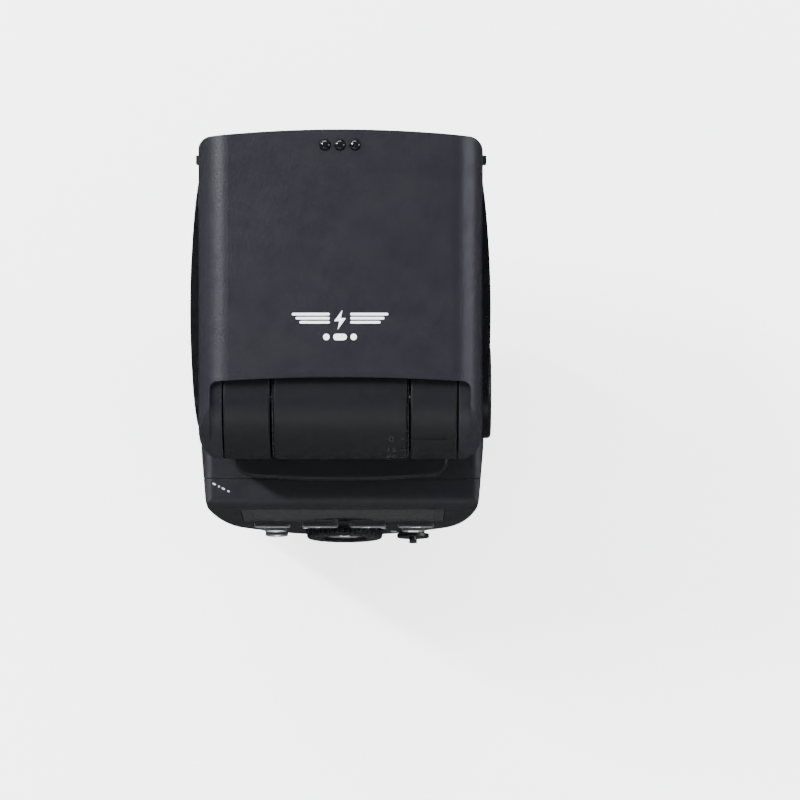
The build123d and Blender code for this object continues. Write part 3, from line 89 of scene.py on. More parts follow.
class Surface:
    """A node material on one Principled shader. Its textures are laid out in metres, in the frame."""

    def __init__(self, name, colour, roughness, metallic=0.0, specular=0.5):
        self.material = bpy.data.materials.new(name)
        self.material.use_nodes = True
        self.tree = self.material.node_tree
        self.shader = next(n for n in self.tree.nodes if n.type == "BSDF_PRINCIPLED")
        self.place = self.node("ShaderNodeTexCoord").outputs["Object"]
        self.colour, self.roughness = colour, roughness
        self.set("Base Color", (*colour, 1))
        self.set("Roughness", roughness)
        self.set("Metallic", metallic)
        self.set("Specular IOR Level", specular)
        self.normal = None

    def node(self, kind, **settings):
        made = self.tree.nodes.new(kind)
        for key, value in settings.items():
            setattr(made, key, value)
        return made

    def link(self, out, into):
        self.tree.links.new(out, into)

    def set(self, socket, value):
        self.shader.inputs[socket].default_value = value

    def stretched(self, scale):
        """The coordinates with each axis scaled, for brushed lines."""
        mapping = self.node("ShaderNodeMapping")
        mapping.inputs["Scale"].default_value = scale
        self.link(self.place, mapping.inputs["Vector"])
        return mapping.outputs["Vector"]

    def noise(self, scale, detail=3.0, rough=0.55, vector=None):
        """A cloudy pattern, from 0 to 1."""
        made = self.node("ShaderNodeTexNoise")
        made.inputs["Scale"].default_value = scale
        made.inputs["Detail"].default_value = detail
        made.inputs["Roughness"].default_value = rough
        self.link(vector or self.place, made.inputs["Vector"])
        return made.outputs["Fac"]

    def cells(self, scale, feature="F1", smooth=None):
        """A pattern of cells: the distance from each one's middle, or from its edge."""
        made = self.node("ShaderNodeTexVoronoi", feature=feature)
        made.inputs["Scale"].default_value = scale
        if smooth is not None:
            made.inputs["Smoothness"].default_value = smooth
        self.link(self.place, made.inputs["Vector"])
        return made.outputs["Distance"]

    def ranged(self, value, low, high, start, end):
        """A value that goes from low to high as another goes from start to end."""
        made = self.node("ShaderNodeMapRange")
        made.inputs["From Min"].default_value = start
        made.inputs["From Max"].default_value = end
        made.inputs["To Min"].default_value = low
        made.inputs["To Max"].default_value = high
        self.link(value, made.inputs["Value"])
        return made.outputs["Result"]

    def mixed(self, factor, first, second):
        """Two colours mixed by factor."""
        first_colour, second_colour, mixed_colour = 6, 7, 2  # its sockets for colours, by number
        made = self.node("ShaderNodeMix", data_type="RGBA")
        self.link(factor, made.inputs["Factor"])
        made.inputs[first_colour].default_value = (*first, 1)
        made.inputs[second_colour].default_value = (*second, 1)
        return made.outputs[mixed_colour]

    def layer_normal(self, made):
        """Puts a node that changes the normal on top of the ones before it."""
        if self.normal is not None:
            self.link(self.normal, made.inputs["Normal"])
        self.normal = made.outputs["Normal"]
        self.link(self.normal, self.shader.inputs["Normal"])

    def bump(self, height, depth, strength):
        """A bump of that depth in metres."""
        made = self.node("ShaderNodeBump")
        made.inputs["Strength"].default_value = strength
        made.inputs["Distance"].default_value = depth
        self.link(height, made.inputs["Height"])
        self.layer_normal(made)

    def soft_edges(self, radius):
        """Edges that catch the light, as if rounded by that radius."""
        made = self.node("ShaderNodeBevel", samples=6)
        made.inputs["Radius"].default_value = radius
        self.layer_normal(made)

    def vary(self, amount, scale, rough_by, rough_scale=260.0):
        """Slow changes of shade, and finer ones of roughness."""
        darker = tuple(c * (1 - amount) for c in self.colour)
        lighter = tuple(min(c * (1 + amount), 1) for c in self.colour)
        shade = self.mixed(self.noise(scale, 4.0), darker, lighter)
        self.link(shade, self.shader.inputs["Base Color"])
        low, high = self.roughness - rough_by, self.roughness + rough_by
        gloss = self.ranged(self.noise(rough_scale, 2.0), low, high, 0.3, 0.7)
        self.link(gloss, self.shader.inputs["Roughness"])


def grained_plastic(name, colour, roughness, cell, depth, specular=0.5, edge=0.25 * MM):
    """Moulded plastic with a leather-like grain: shallow rounded cells of about that size in metres."""
    s = Surface(name, colour, roughness, specular=specular)
    s.vary(0.10, 30.0, 0.04)
    s.soft_edges(edge)
    grain = s.cells(1 / cell, "SMOOTH_F1", 0.5)
    s.bump(s.ranged(grain, 1.0, 0.0, 0.0, 0.8), depth, 0.8)
    s.bump(s.noise(2.2 / cell, 4.0, 0.6), depth * 0.7, 0.7)
    return s


def satin_plastic(name, colour, roughness, depth=0.006 * MM, specular=0.5, edge=0.2 * MM):
    """Smooth moulded plastic with the faint texture of a fine-sparked mould."""
    s = Surface(name, colour, roughness, specular=specular)
    s.vary(0.12, 40.0, 0.05, 500.0)
    s.soft_edges(edge)
    s.bump(s.noise(5200.0, 3.0, 0.6), depth, 0.8)
    return s


def rubber(name, colour, roughness):
    """Matt rubber with a fine pebbled surface and a faint sheen."""
    s = Surface(name, colour, roughness, specular=0.35)
    s.vary(0.14, 60.0, 0.05, 700.0)
    s.soft_edges(0.2 * MM)
    s.bump(s.noise(3600.0, 5.0, 0.65), 0.012 * MM, 0.9)
    s.set("Sheen Weight", 0.12)
    s.set("Sheen Roughness", 0.5)
    return s


def brushed_metal(name, colour, roughness, along, scuffs=0.25):
    """Metal with fine lines along one axis, and a few scuffs."""
    s = Surface(name, colour, roughness, metallic=1.0)
    scale = tuple(60.0 if axis == along else 5200.0 for axis in "XYZ")
    lines = s.noise(1.0, 3.0, 0.6, vector=s.stretched(scale))
    wear = s.ranged(s.noise(420.0, 6.0, 0.7), 0.0, 1.0, 0.42, 0.72)
    darker = tuple(c * 0.72 for c in colour)
    s.link(s.mixed(wear, colour, darker), s.shader.inputs["Base Color"])
    rougher = s.ranged(lines, roughness - 0.08, roughness + 0.12 + scuffs * 0.3, 0.3, 0.7)
    s.link(rougher, s.shader.inputs["Roughness"])
    s.soft_edges(0.12 * MM)
    s.bump(lines, 0.004 * MM, 0.7)
    return s


def clear_plastic(name, colour, roughness, ior=1.49, ribs=None, ripple=0.02 * MM):
    """Clear moulded plastic. ribs is (axis, pitch in metres, depth in metres) for prisms on its surface."""
    s = Surface(name, colour, roughness)
    s.set("Transmission Weight", 1.0)
    s.set("IOR", ior)
    s.bump(s.noise(160.0, 2.0), ripple, 0.25)
    if ribs:
        axis, pitch, depth = ribs
        wave = s.node(
            "ShaderNodeTexWave", wave_type="BANDS", bands_direction=axis, wave_profile="SAW"
        )
        wave.inputs["Scale"].default_value = math.pi / 10 / pitch  # one band for each pitch
        s.link(s.place, wave.inputs["Vector"])
        s.bump(wave.outputs["Fac"], depth, 1.0)
    return s


shell = grained_plastic(
    "shell_plastic", (0.0084, 0.0084, 0.0112), 0.39, cell=0.62 * MM, depth=0.024 * MM, specular=0.38
)
housing = grained_plastic(
    "housing_plastic", (0.0068, 0.0069, 0.0088), 0.44, cell=0.58 * MM, depth=0.022 * MM, specular=0.38
)
neck = satin_plastic("neck_plastic", (0.0056, 0.0058, 0.0068), 0.42, specular=0.32)
side = satin_plastic("side_plastic", (0.0032, 0.0033, 0.0038), 0.30, specular=0.28)
bezel = satin_plastic("bezel_plastic", (0.0034, 0.0034, 0.0038), 0.34, specular=0.35)
ring = satin_plastic("gap_ring_plastic", (0.0160, 0.0163, 0.0185), 0.26)
key = rubber("key_rubber", (0.0135, 0.0138, 0.0152), 0.55)
dial = satin_plastic("dial_plastic", (0.0050, 0.0051, 0.0058), 0.28, specular=0.4)
stud = satin_plastic("stud_plastic", (0.0040, 0.0040, 0.0045), 0.10, depth=0.001 * MM, specular=0.7)
box_plastic = satin_plastic("box_plastic", (0.0420, 0.0425, 0.0460), 0.55)
INK_EDGE = 0.02 * MM
print_white = satin_plastic("print_white", (0.80, 0.81, 0.82), 0.50, depth=0.002 * MM, edge=INK_EDGE)
display_ink = satin_plastic("display_ink", (0.012, 0.014, 0.012), 0.40, depth=0.001 * MM, edge=INK_EDGE)
print_grey = satin_plastic("print_grey", (0.42, 0.43, 0.44), 0.50, depth=0.002 * MM, edge=INK_EDGE)
catch_white = satin_plastic("catch_white", (0.80, 0.80, 0.78), 0.38)
foot_metal = brushed_metal("foot_metal", (0.60, 0.60, 0.61), 0.30, "Y")
spring_metal = brushed_metal("spring_metal", (0.66, 0.65, 0.62), 0.28, "Z")
shaft_metal = brushed_metal("shaft_metal", (0.58, 0.58, 0.60), 0.22, "X")
motor_metal = brushed_metal("motor_metal", (0.52, 0.52, 0.54), 0.32, "Y")
pin_metal = brushed_metal("pin_metal", (0.72, 0.72, 0.73), 0.14, "Z", scuffs=0.1)
gold = brushed_metal("contact_gold", (0.78, 0.55, 0.20), 0.20, "Z", scuffs=0.1)
screw_metal = brushed_metal("screw_metal", (0.060, 0.060, 0.064), 0.36, "X")
reflector_metal = brushed_metal("reflector_metal", (0.88, 0.88, 0.87), 0.10, "X", scuffs=0.05)
fresnel_clear = clear_plastic("fresnel_clear", (0.97, 0.98, 0.98), 0.03)
screen_clear = clear_plastic("screen_clear", (0.93, 0.95, 0.95), 0.0, 1.3, ripple=0.001 * MM)
wide_clear = clear_plastic("wide_clear", (0.94, 0.96, 0.97), 0.06, ribs=("X", 0.9 * MM, 0.10 * MM))
lamp_clear = clear_plastic("lamp_clear", (0.95, 0.86, 0.80), 0.05)
tube_clear = clear_plastic("tube_clear", (0.96, 0.97, 0.98), 0.02, ior=1.46)


def red_window():
    """Polished dark red plastic that lets some light through."""
    s = Surface("window_red", (0.060, 0.0035, 0.0040), 0.07, specular=0.6)
    s.set("Transmission Weight", 0.55)
    s.set("IOR", 1.5)
    s.set("Coat Weight", 0.4)
    s.set("Coat Roughness", 0.04)
    s.link(s.ranged(s.noise(700.0, 3.0), 0.05, 0.13, 0.3, 0.7), s.shader.inputs["Roughness"])
    s.bump(s.noise(90.0, 1.0), 0.03 * MM, 0.2)
    return s


def liquid_crystal():
    """The display's grey-green field with its fine dot mesh."""
    s = Surface("display_field", (0.150, 0.176, 0.136), 0.36, specular=0.3)
    s.vary(0.06, 60.0, 0.03)
    s.bump(s.cells(1 / (0.35 * MM)), 0.003 * MM, 0.4)
    return s


def circuit_board():
    """Solder mask over raised copper runs."""
    bare, over_copper = (0.008, 0.060, 0.022), (0.030, 0.150, 0.050)
    s = Surface("board_green", (0.010, 0.075, 0.026), 0.30, specular=0.6)
    tracks = s.cells(520.0, "DISTANCE_TO_EDGE")
    copper = s.ranged(tracks, 1.0, 0.0, 0.02, 0.05)
    s.link(s.mixed(copper, bare, over_copper), s.shader.inputs["Base Color"])
    s.bump(copper, 0.03 * MM, 0.6)
    return s


def cell_jacket():
    """Plain battery jackets: a dark sleeve, copper-coloured beyond 13 mm towards +X."""
    sleeve, copper = (0.030, 0.034, 0.045), (0.42, 0.30, 0.12)
    s = Surface("cell_jacket", sleeve, 0.26, specular=0.6)
    split = s.node("ShaderNodeSeparateXYZ")
    s.link(s.place, split.inputs["Vector"])
    band = s.ranged(split.outputs["X"], 0.0, 1.0, 12.9 * MM, 13.1 * MM)
    s.link(s.mixed(band, sleeve, copper), s.shader.inputs["Base Color"])
    s.bump(s.noise(900.0, 3.0), 0.01 * MM, 0.4)
    return s


def capacitor_sleeve():
    """A glossy dark blue heat-shrunk sleeve."""
    s = Surface("capacitor_sleeve", (0.014, 0.020, 0.045), 0.24, specular=0.6)
    s.vary(0.12, 80.0, 0.04)
    s.bump(s.noise(600.0, 3.0), 0.015 * MM, 0.5)
    return s


FINISHES = {
    shell: ["head_top_shell", "head_bottom_shell"],
    housing: ["front_shell", "rear_shell", "battery_door"],
    neck: ["neck_yoke", "neck_cap", "left_barrel", "right_barrel", "foot_base", "lock_lever"],
    side: ["side_panel_left", "side_panel_right"],
    bezel: ["front_bezel", "bounce_release_button"],
    stud: ["grip_studs"],
    key: [
        "set_key", "wireless_key", "menu_key", "test_fire_key", "lock_release_button",
        "function_key_1", "function_key_2", "function_key_3", "function_key_4",
    ],
    dial: ["select_dial", "power_switch", "door_latch"],
    foot_metal: ["mounting_foot"],
    gold: ["contact_pins"],
    pin_metal: ["lock_pin"],
    screw_metal: ["base_screws", "head_screws"],
    shaft_metal: ["hinge_shaft", "door_hinge_pin", "guide_rods", "lead_screw"],
    spring_metal: ["door_contacts", "cell_contacts", "swivel_retainer", "zoom_frame"],
    motor_metal: ["zoom_motor"],
    box_plastic: ["battery_box", "swivel_bearing", "panel_tray", "zoom_carriage"],
    reflector_metal: ["reflector"],
    tube_clear: ["flash_tube"],
    wide_clear: ["wide_panel"],
    catch_white: ["catchlight_panel"],
    lamp_clear: ["assist_lamps"],
    screen_clear: ["screen_window"],
    fresnel_clear: ["fresnel_panel"],
    red_window(): ["front_window"],
    liquid_crystal(): ["screen_module"],
    circuit_board(): ["main_board", "control_board", "trigger_board"],
    cell_jacket(): ["battery_cells"],
    capacitor_sleeve(): ["main_capacitor"],
}


def paint(obj, surface):
    """Makes a surface an object's only material."""
    obj.data.materials.clear()
    obj.data.materials.append(surface.material)


for surface, names in FINISHES.items():
    for name in names:
        paint(NODES[name], surface)


# ---- Mesh helpers ------------------------------------------------------------------------------------


def shown(name, bm, surface):
    """A shape made into an object of the scene, its faces turned outwards."""
    bmesh.ops.recalc_face_normals(bm, faces=bm.faces)
    mesh = bpy.data.meshes.new(name)
    bm.to_mesh(mesh)
    bm.free()
    obj = bpy.data.objects.new(name, mesh)
    bpy.context.scene.collection.objects.link(obj)
    paint(obj, surface)
    return obj


def piece(name, bm, surface, body, wrap=None):
    """A shape as a piece that rides on a body, first bent by wrap, a function of each point."""
    if wrap is not None:
        for v in bm.verts:
            v.co = wrap(v.co)
    obj = shown(name, bm, surface)
    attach(obj, body)
    return obj


def flat_shape(loops, thickness=PRINT):
    """A flat plate in XY, z from 0 to thickness in metres, from outlines in millimetres."""
    bm = bmesh.new()
    for loop in loops:
        face = bm.faces.new([bm.verts.new((x * MM, y * MM, 0)) for x, y in loop])
        grown = bmesh.ops.extrude_face_region(bm, geom=[face], use_keep_orig=True)
        for part in grown["geom"]:
            if isinstance(part, bmesh.types.BMVert):
                part.co.z = thickness
    bmesh.ops.recalc_face_normals(bm, faces=bm.faces)
    return bm


def rounded_bar(width, height, at=(0, 0), steps=5, radius=None):
    """The outline of a rounded rectangle."""
    r = min(width, height) / 2 if radius is None else radius
    points = []
    for cx, cy, start in (
        (width / 2 - r, height / 2 - r, 0),
        (-width / 2 + r, height / 2 - r, 90),
        (-width / 2 + r, -height / 2 + r, 180),
        (width / 2 - r, -height / 2 + r, 270),
    ):
        for i in range(steps + 1):
            turn = math.radians(start + 90 * i / steps)
            points.append((at[0] + cx + r * math.cos(turn), at[1] + cy + r * math.sin(turn)))
    return points


def arc_band(radius, width, start, end, at=(0, 0), steps=14):
    """The outline of a band along an arc, angles in degrees."""
    turns = [math.radians(start + (end - start) * i / steps) for i in range(steps + 1)]
    outer, inner = (
        [(at[0] + r * math.cos(t), at[1] + r * math.sin(t)) for t in turns]
        for r in (radius + width / 2, radius - width / 2)
    )
    return outer + inner[::-1]


def bolt_outline(height, at):
    """The outline of a plain zigzag bolt."""
    shape = [(0.12, 0.50), (-0.30, -0.06), (-0.03, -0.06), (-0.12, -0.50), (0.30, 0.09), (0.04, 0.09)]
    return [(at[0] + x * height, at[1] + y * height) for x, y in shape]


def digits(text, height, thickness):
    """Digits as a closed shape in XY, centred, of that cap height. All in metres."""
    cap_height = 0.70  # of the font's size
    curve = bpy.data.curves.new("digits", "FONT")
    curve.body = text
    curve.align_x, curve.align_y = "CENTER", "CENTER"
    curve.size = height / cap_height
    curve.extrude = thickness / 2
    curve.resolution_u = 3
    obj = bpy.data.objects.new("digits", curve)
    bpy.context.scene.collection.objects.link(obj)
    bpy.context.view_layer.update()
    mesh = bpy.data.meshes.new_from_object(
        obj.evaluated_get(bpy.context.evaluated_depsgraph_get())
    )
    bm = bmesh.new()
    bm.from_mesh(mesh)
    bmesh.ops.remove_doubles(bm, verts=bm.verts, dist=1e-7)
    bpy.data.objects.remove(obj)
    bpy.data.curves.remove(curve)
    bpy.data.meshes.remove(mesh)
    return bm


def laid_on(name, origin, right, up, out):
    """Lays flat points on a node: each is dropped on its surface from outside, and lifted by its z."""
    drop = 20 * MM
    mesh = NODES[name].data
    tree = BVHTree.FromPolygons([v.co for v in mesh.vertices], [p.vertices for p in mesh.polygons])

    def lay(p):
        hit = tree.ray_cast(origin + right * p.x + up * p.y + out * drop, -out)[0]
        if hit is None:
            raise ValueError(f"a mark misses {name}")
        return hit + out * (p.z - PRINT / 2)

    return lay


def soften_facets(name, broad, crease):
    """Gives a node's facets over an area, where they meet at less than crease, one surface's normals."""
    mesh = NODES[name].data
    corners = {}  # for each corner's place, to 0.01 mm, the broad facets that meet there
    for face in mesh.polygons:
        if face.area > broad:
            for loop, v in zip(face.loop_indices, face.vertices):
                spot = tuple(round(c / (0.01 * MM)) for c in mesh.vertices[v].co)
                corners.setdefault(spot, []).append((face, loop))
    normals = [corner.vector.copy() for corner in mesh.corner_normals]
    for met in corners.values():
        for face, loop in met:
            near = [f for f, _ in met if f.normal.dot(face.normal) > math.cos(crease)]
            normals[loop] = sum((f.normal * f.area for f in near), Vector()).normalized()
    mesh.normals_split_custom_set(normals)


# ---- Marks on the head and neck ----------------------------------------------------------------------


def lid_point(p):
    """Lays a flat point on the lid's slightly arched top."""
    return Vector((p.x, p.y, p.z + LID_TOP - LID_ARC * (p.x / LID_HALF) ** 2))


def lid_mark():
    """A generic bolt between rules over a short row of dots, where the lid carries its print."""
    rules = ((8.9, 18.25), (8.0, 17.3), (7.1, 16.35))  # each one's length and height on the lid
    rule_gap, rule_width = 2.4, 0.6
    dot, dots_up, dots_across = 1.5, 12.9, 3.2
    loops = [bolt_outline(4.6, (0, 16.9))]
    for way in (-1, 1):
        for length, up in rules:
            loops.append(rounded_bar(length, rule_width, (way * (rule_gap + length / 2), up)))
        loops.append(rounded_bar(dot, dot, (way * dots_across, dots_up)))
    loops.append(rounded_bar(3.2, dot, (0, dots_up)))
    bm = flat_shape(loops)
    # The print reads from behind the flash, so it is turned half round
    bm.transform(Matrix.Rotation(math.pi, 4, "Z"))
    piece("lid_mark", bm, print_white, "head", lid_point)


def on_barrel(turn, out):
    """Bends a flat point round the middle barrel: x to the user's right, y up towards the front."""

    def bend(p):
        angle = turn - p.y / BARREL_R
        r = BARREL_R + p.z + out
        return Vector((-p.x, r * math.sin(angle), PIVOT.z + r * math.cos(angle)))

    return bend


def angle_scale():
    """Tilt angles raised on the middle barrel, read against the groove on the barrel beside it."""
    digits_across, tick_across = 12.0, 14.6
    sunk = 0.02 * MM
    for degrees in range(0, 91, 15):
        number = digits(str(degrees), 1.9 * MM, 0.18 * MM)
        number.transform(Matrix.Translation((digits_across * MM, 0, 0)))
        tick = flat_shape([rounded_bar(0.9, 0.28, (tick_across, 0))], 0.10 * MM)
        wrap = on_barrel(INDEX_TURN + math.radians(degrees), -sunk)
        piece(f"angle_digits_{degrees}", number, ring, "neck", wrap)
        piece(f"angle_tick_{degrees}", tick, ring, "neck", wrap)


def gap_rings():
    """Smooth slip rings that show in the gaps beside the middle barrel."""
    profile = [(15.72, 15.02), (15.78, 15.24), (16.05, 15.30), (16.18, 15.22), (16.2, 15.02)]
    steps = 96
    turns = [2 * math.pi * i / steps for i in range(steps)]
    for side_name, way in (("left", 1), ("right", -1)):
        bm = bmesh.new()
        rows = []
        for x, r in profile:
            circle = [(r * MM * math.sin(t), PIVOT.z + r * MM * math.cos(t)) for t in turns]
            rows.append([bm.verts.new((way * x * MM, y, z)) for y, z in circle])
        for row, above in zip(rows, rows[1:] + rows[:1]):
            for i in range(steps):
                j = (i + 1) % steps
                bm.faces.new((row[i], row[j], above[j], above[i])).smooth = True
        piece(f"gap_ring_{side_name}", bm, ring, "neck")


# ---- Marks on the control panel ----------------------------------------------------------------------


def panel_middle(name):
    """The middle of a node, in the control panel's plane."""
    offsets = [v.co - PANEL_MID for v in NODES[name].data.vertices]
    across = [o.dot(PANEL_RIGHT) for o in offsets]
    up = [o.dot(PANEL_UP) for o in offsets]
    mid_across, mid_up = (min(across) + max(across)) / 2, (min(up) + max(up)) / 2
    return PANEL_MID + PANEL_RIGHT * mid_across + PANEL_UP * mid_up


def panel_print(name, loops, surface, node, body, slot, about=None):
    """Prints loops on a node, in millimetres about its middle or about another node's."""
    wrap = laid_on(node, panel_middle(about or node), PANEL_RIGHT, PANEL_UP, PANEL_OUT)
    piece(name, flat_shape(loops), surface, body, wrap)


def key_mark(key_name, loops):
    """A print on a key. A key's body has the same name as its node."""
    panel_print(f"{key_name}_mark", loops, print_white, key_name, key_name, "control_rubber")


def key_marks():
    """Plain symbols on the keys: rising bars, waves over a dot, a list, a bolt and a ring."""
    for i in range(4):
        bars = [
            rounded_bar(0.32, 0.45 + 0.35 * k, (-0.9 + 0.6 * k, -0.6 + 0.175 * k), 3)
            for k in range(i + 1)
        ]
        key_mark(f"function_key_{i + 1}", bars)
    waves = [arc_band(r, 0.26, 40, 140, (0, -1.1)) for r in (1.0, 1.75, 2.5)]
    key_mark("wireless_key", [rounded_bar(0.6, 0.6, (0, -1.1))] + waves)
    key_mark("menu_key", [rounded_bar(2.6, 0.34, (0, y), 3) for y in (-0.9, 0, 0.9)])
    key_mark("test_fire_key", [bolt_outline(3.4, (0, 0))])
    key_mark("set_key", [arc_band(1.15, 0.34, 0, 180), arc_band(1.15, 0.34, 180, 360)])


def panel_marks():
    """Prints on the housing: off, on and a dot round the switch, and an arrow each way at the dial."""
    off_on_across, off_on_up = 5.0, 3.1
    off = [arc_band(0.62, 0.26, 90 * k, 90 * k + 90, (-off_on_across, off_on_up), 6) for k in range(4)]
    on = [rounded_bar(0.3, 1.7, (off_on_across, off_on_up), 3)]
    dot = [rounded_bar(0.7, 0.7, (0, 5.6), 3)]
    place = ("rear_shell", "housing", "shell_black")
    panel_print("switch_marks", off + on + dot, print_grey, *place, about="power_switch")
    arrow_r, from_top, half_sweep = 10.9, 52, 12
    arrows = []
    for way in (-1, 1):
        middle = 90 + way * from_top
        band = arc_band(arrow_r, 0.3, middle - half_sweep, middle + half_sweep)
        tip = math.radians(middle + way * half_sweep)
        out = (math.cos(tip), math.sin(tip))
        along = (-way * out[1], way * out[0])
        head = [
            (out[0] * (arrow_r + s) + along[0] * f, out[1] * (arrow_r + s) + along[1] * f)
            for s, f in ((-0.65, 0), (0.65, 0), (0, 1.1))
        ]
        arrows += [band, head]
    panel_print("dial_arrows", arrows, print_grey, *place, about="select_dial")


# The segments that each digit lights: a along the top, then clockwise to f, and g across the middle
SEGMENTS = {
    "0": "abcdef", "1": "bc", "2": "abged", "3": "abgcd", "4": "fgbc", "5": "afgcd", "6": "afgedc",
    "7": "abc", "8": "abcdefg", "9": "abcfgd",
}


def seven_segment(text, height, at):
    """Seven-segment digits as outlines, left to right. The first one's lower left corner is at."""
    width, bar = height * 0.5, height * 0.13
    flat, tall = width - bar * 1.3, height / 2 - bar * 1.3
    lying, standing = (flat, bar), (bar, tall)
    spots = {
        "a": (width / 2, height, lying),
        "g": (width / 2, height / 2, lying),
        "d": (width / 2, 0, lying),
        "f": (0, height * 0.75, standing),
        "b": (width, height * 0.75, standing),
        "e": (0, height * 0.25, standing),
        "c": (width, height * 0.25, standing),
    }
    loops = []
    for i, digit in enumerate(text):
        left = at[0] + i * (width + bar * 2.2)
        for segment in SEGMENTS[digit]:
            x, y, size = spots[segment]
            loops.append(rounded_bar(*size, (left + x, at[1] + y), 2, bar * 0.3))
    return loops


def display_marks():
    """What a switched-on display might show: numbers, a scale, a zoom ladder, a battery and symbols."""
    loops = []
    for text, height, at in (
        ("50", 6.2, (-18.6, -0.6)),
        ("24", 3.0, (-18.6, -7.6)),
        ("105", 3.0, (13.2, -7.6)),
        ("12", 4.2, (13.6, 0.6)),
    ):
        loops += seven_segment(text, height, at)
    ticks, tick_pitch = 11, 3.1
    scale = (ticks - 1) * tick_pitch
    loops.append(rounded_bar(scale, 0.3, (0, -3.4), 2))
    for k in range(ticks):
        tall = 1.5 if k % 5 == 0 else 0.8
        loops.append(rounded_bar(0.28, tall, (-scale / 2 + tick_pitch * k, -2.6), 2))
    for k in range(7):
        loops.append(rounded_bar(1.3, 1.1, (-9.3 + 1.9 * k, -6.1), 2, 0.1))
    case_x, case_y, line = 17.75, 8.2, 0.22
    for k in range(3):
        loops.append(rounded_bar(0.9, 1.6, (16.3 + 1.3 * k, case_y), 2, 0.1))
    loops += [rounded_bar(5.0, line, (case_x, case_y + s * 1.25), 2) for s in (-1, 1)]
    loops += [rounded_bar(line, 2.5, (case_x + s * 2.4, case_y), 2) for s in (-1, 1)]
    waves_at = (-11.6, 6.8)
    loops.append(bolt_outline(3.0, (-16.4, 7.8)))
    loops += [arc_band(1.4, 0.3, 20, 160, waves_at), arc_band(2.3, 0.3, 30, 150, waves_at)]
    panel_print("display_marks", loops, display_ink, "screen_module", "housing", "display")


# ---- Marks and details on the housing and head -------------------------------------------------------


def grip_rib(bm, width, height, rise, at_y):
    """A low rib with a rounded back and tapered ends, along X, standing up from z = 0."""
    across, around = 12, 6
    rows = []
    for i in range(across + 1):
        t = i / across
        taper = math.sin(math.pi * t) ** 0.25 if 0 < t < 1 else 0.35
        row = []
        for k in range(around + 1):
            turn = math.pi * k / around
            y = at_y - height / 2 * taper * math.cos(turn)
            row.append(bm.verts.new(((t - 0.5) * width, y, rise * taper * math.sin(turn))))
        rows.append(row)
    for a, b in zip(rows, rows[1:]):
        for k in range(around):
            bm.faces.new((a[k], b[k], b[k + 1], a[k + 1])).smooth = True
        bm.faces.new((a[0], a[-1], b[-1], b[0]))
    bm.faces.new(rows[0])
    bm.faces.new(rows[-1][::-1])


def door_marks():
    """An arrow under raised grip ribs on the battery door."""
    low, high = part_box("battery_door")
    middle = Vector((high.x, (low.y + high.y) / 2, low.z + (high.z - low.z) * 0.56))
    wrap = laid_on("battery_door", middle, Vector((0, 1, 0)), Vector((0, 0, 1)), Vector((1, 0, 0)))
    arrow = [rounded_bar(0.9, 3.4, (0, -12.2), 3), [(-1.7, -13.6), (1.7, -13.6), (0, -15.8)]]
    piece("door_arrow", flat_shape(arrow), print_grey, "door", wrap)
    ribs, pitch = 6, 1.7 * MM
    bm = bmesh.new()
    for k in range(ribs):
        grip_rib(bm, 15.0 * MM, 0.9 * MM, 0.42 * MM, -k * pitch)
    piece("door_grip", bm, housing, "door", wrap)


def foot_marks():
    """A padlock and an arrow on the rear of the foot's base, for the lock lever."""
    low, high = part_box("foot_base")
    origin = Vector((-9.5 * MM, high.y, high.z - 2.6 * MM))
    wrap = laid_on("foot_base", origin, Vector((-1, 0, 0)), Vector((0, 0, 1)), Vector((0, 1, 0)))
    lock = [rounded_bar(1.9, 1.35, (0, -0.6), 3, 0.2), arc_band(0.6, 0.24, 0, 180, (0, 0.05), 8)]
    arrow = [rounded_bar(3.4, 0.36, (4.6, -0.3), 3), [(2.9, -1.0), (2.9, 0.4), (1.8, -0.3)]]
    piece("foot_marks", flat_shape(lock + arrow), print_grey, "housing", wrap)


def corner_print():
    """A short row of plain printed bars at the housing's rear corner."""
    bars = ((-2.4, 0.9), (-1.1, 0.5), (0.1, 0.9), (1.5, 0.6))  # each one's place and length
    loops = [rounded_bar(length, 0.42, (at, 0), 2) for at, length in bars]
    origin = Vector((29.0 * MM, 23.4 * MM, 74 * MM))
    right, up = Vector((-0.89, 0.45, 0)).normalized(), Vector((-0.45, -0.89, 0)).normalized()
    wrap = laid_on("rear_shell", origin, right, up, Vector((0, 0, 1)))
    piece("corner_print", flat_shape(loops), print_grey, "housing", wrap)


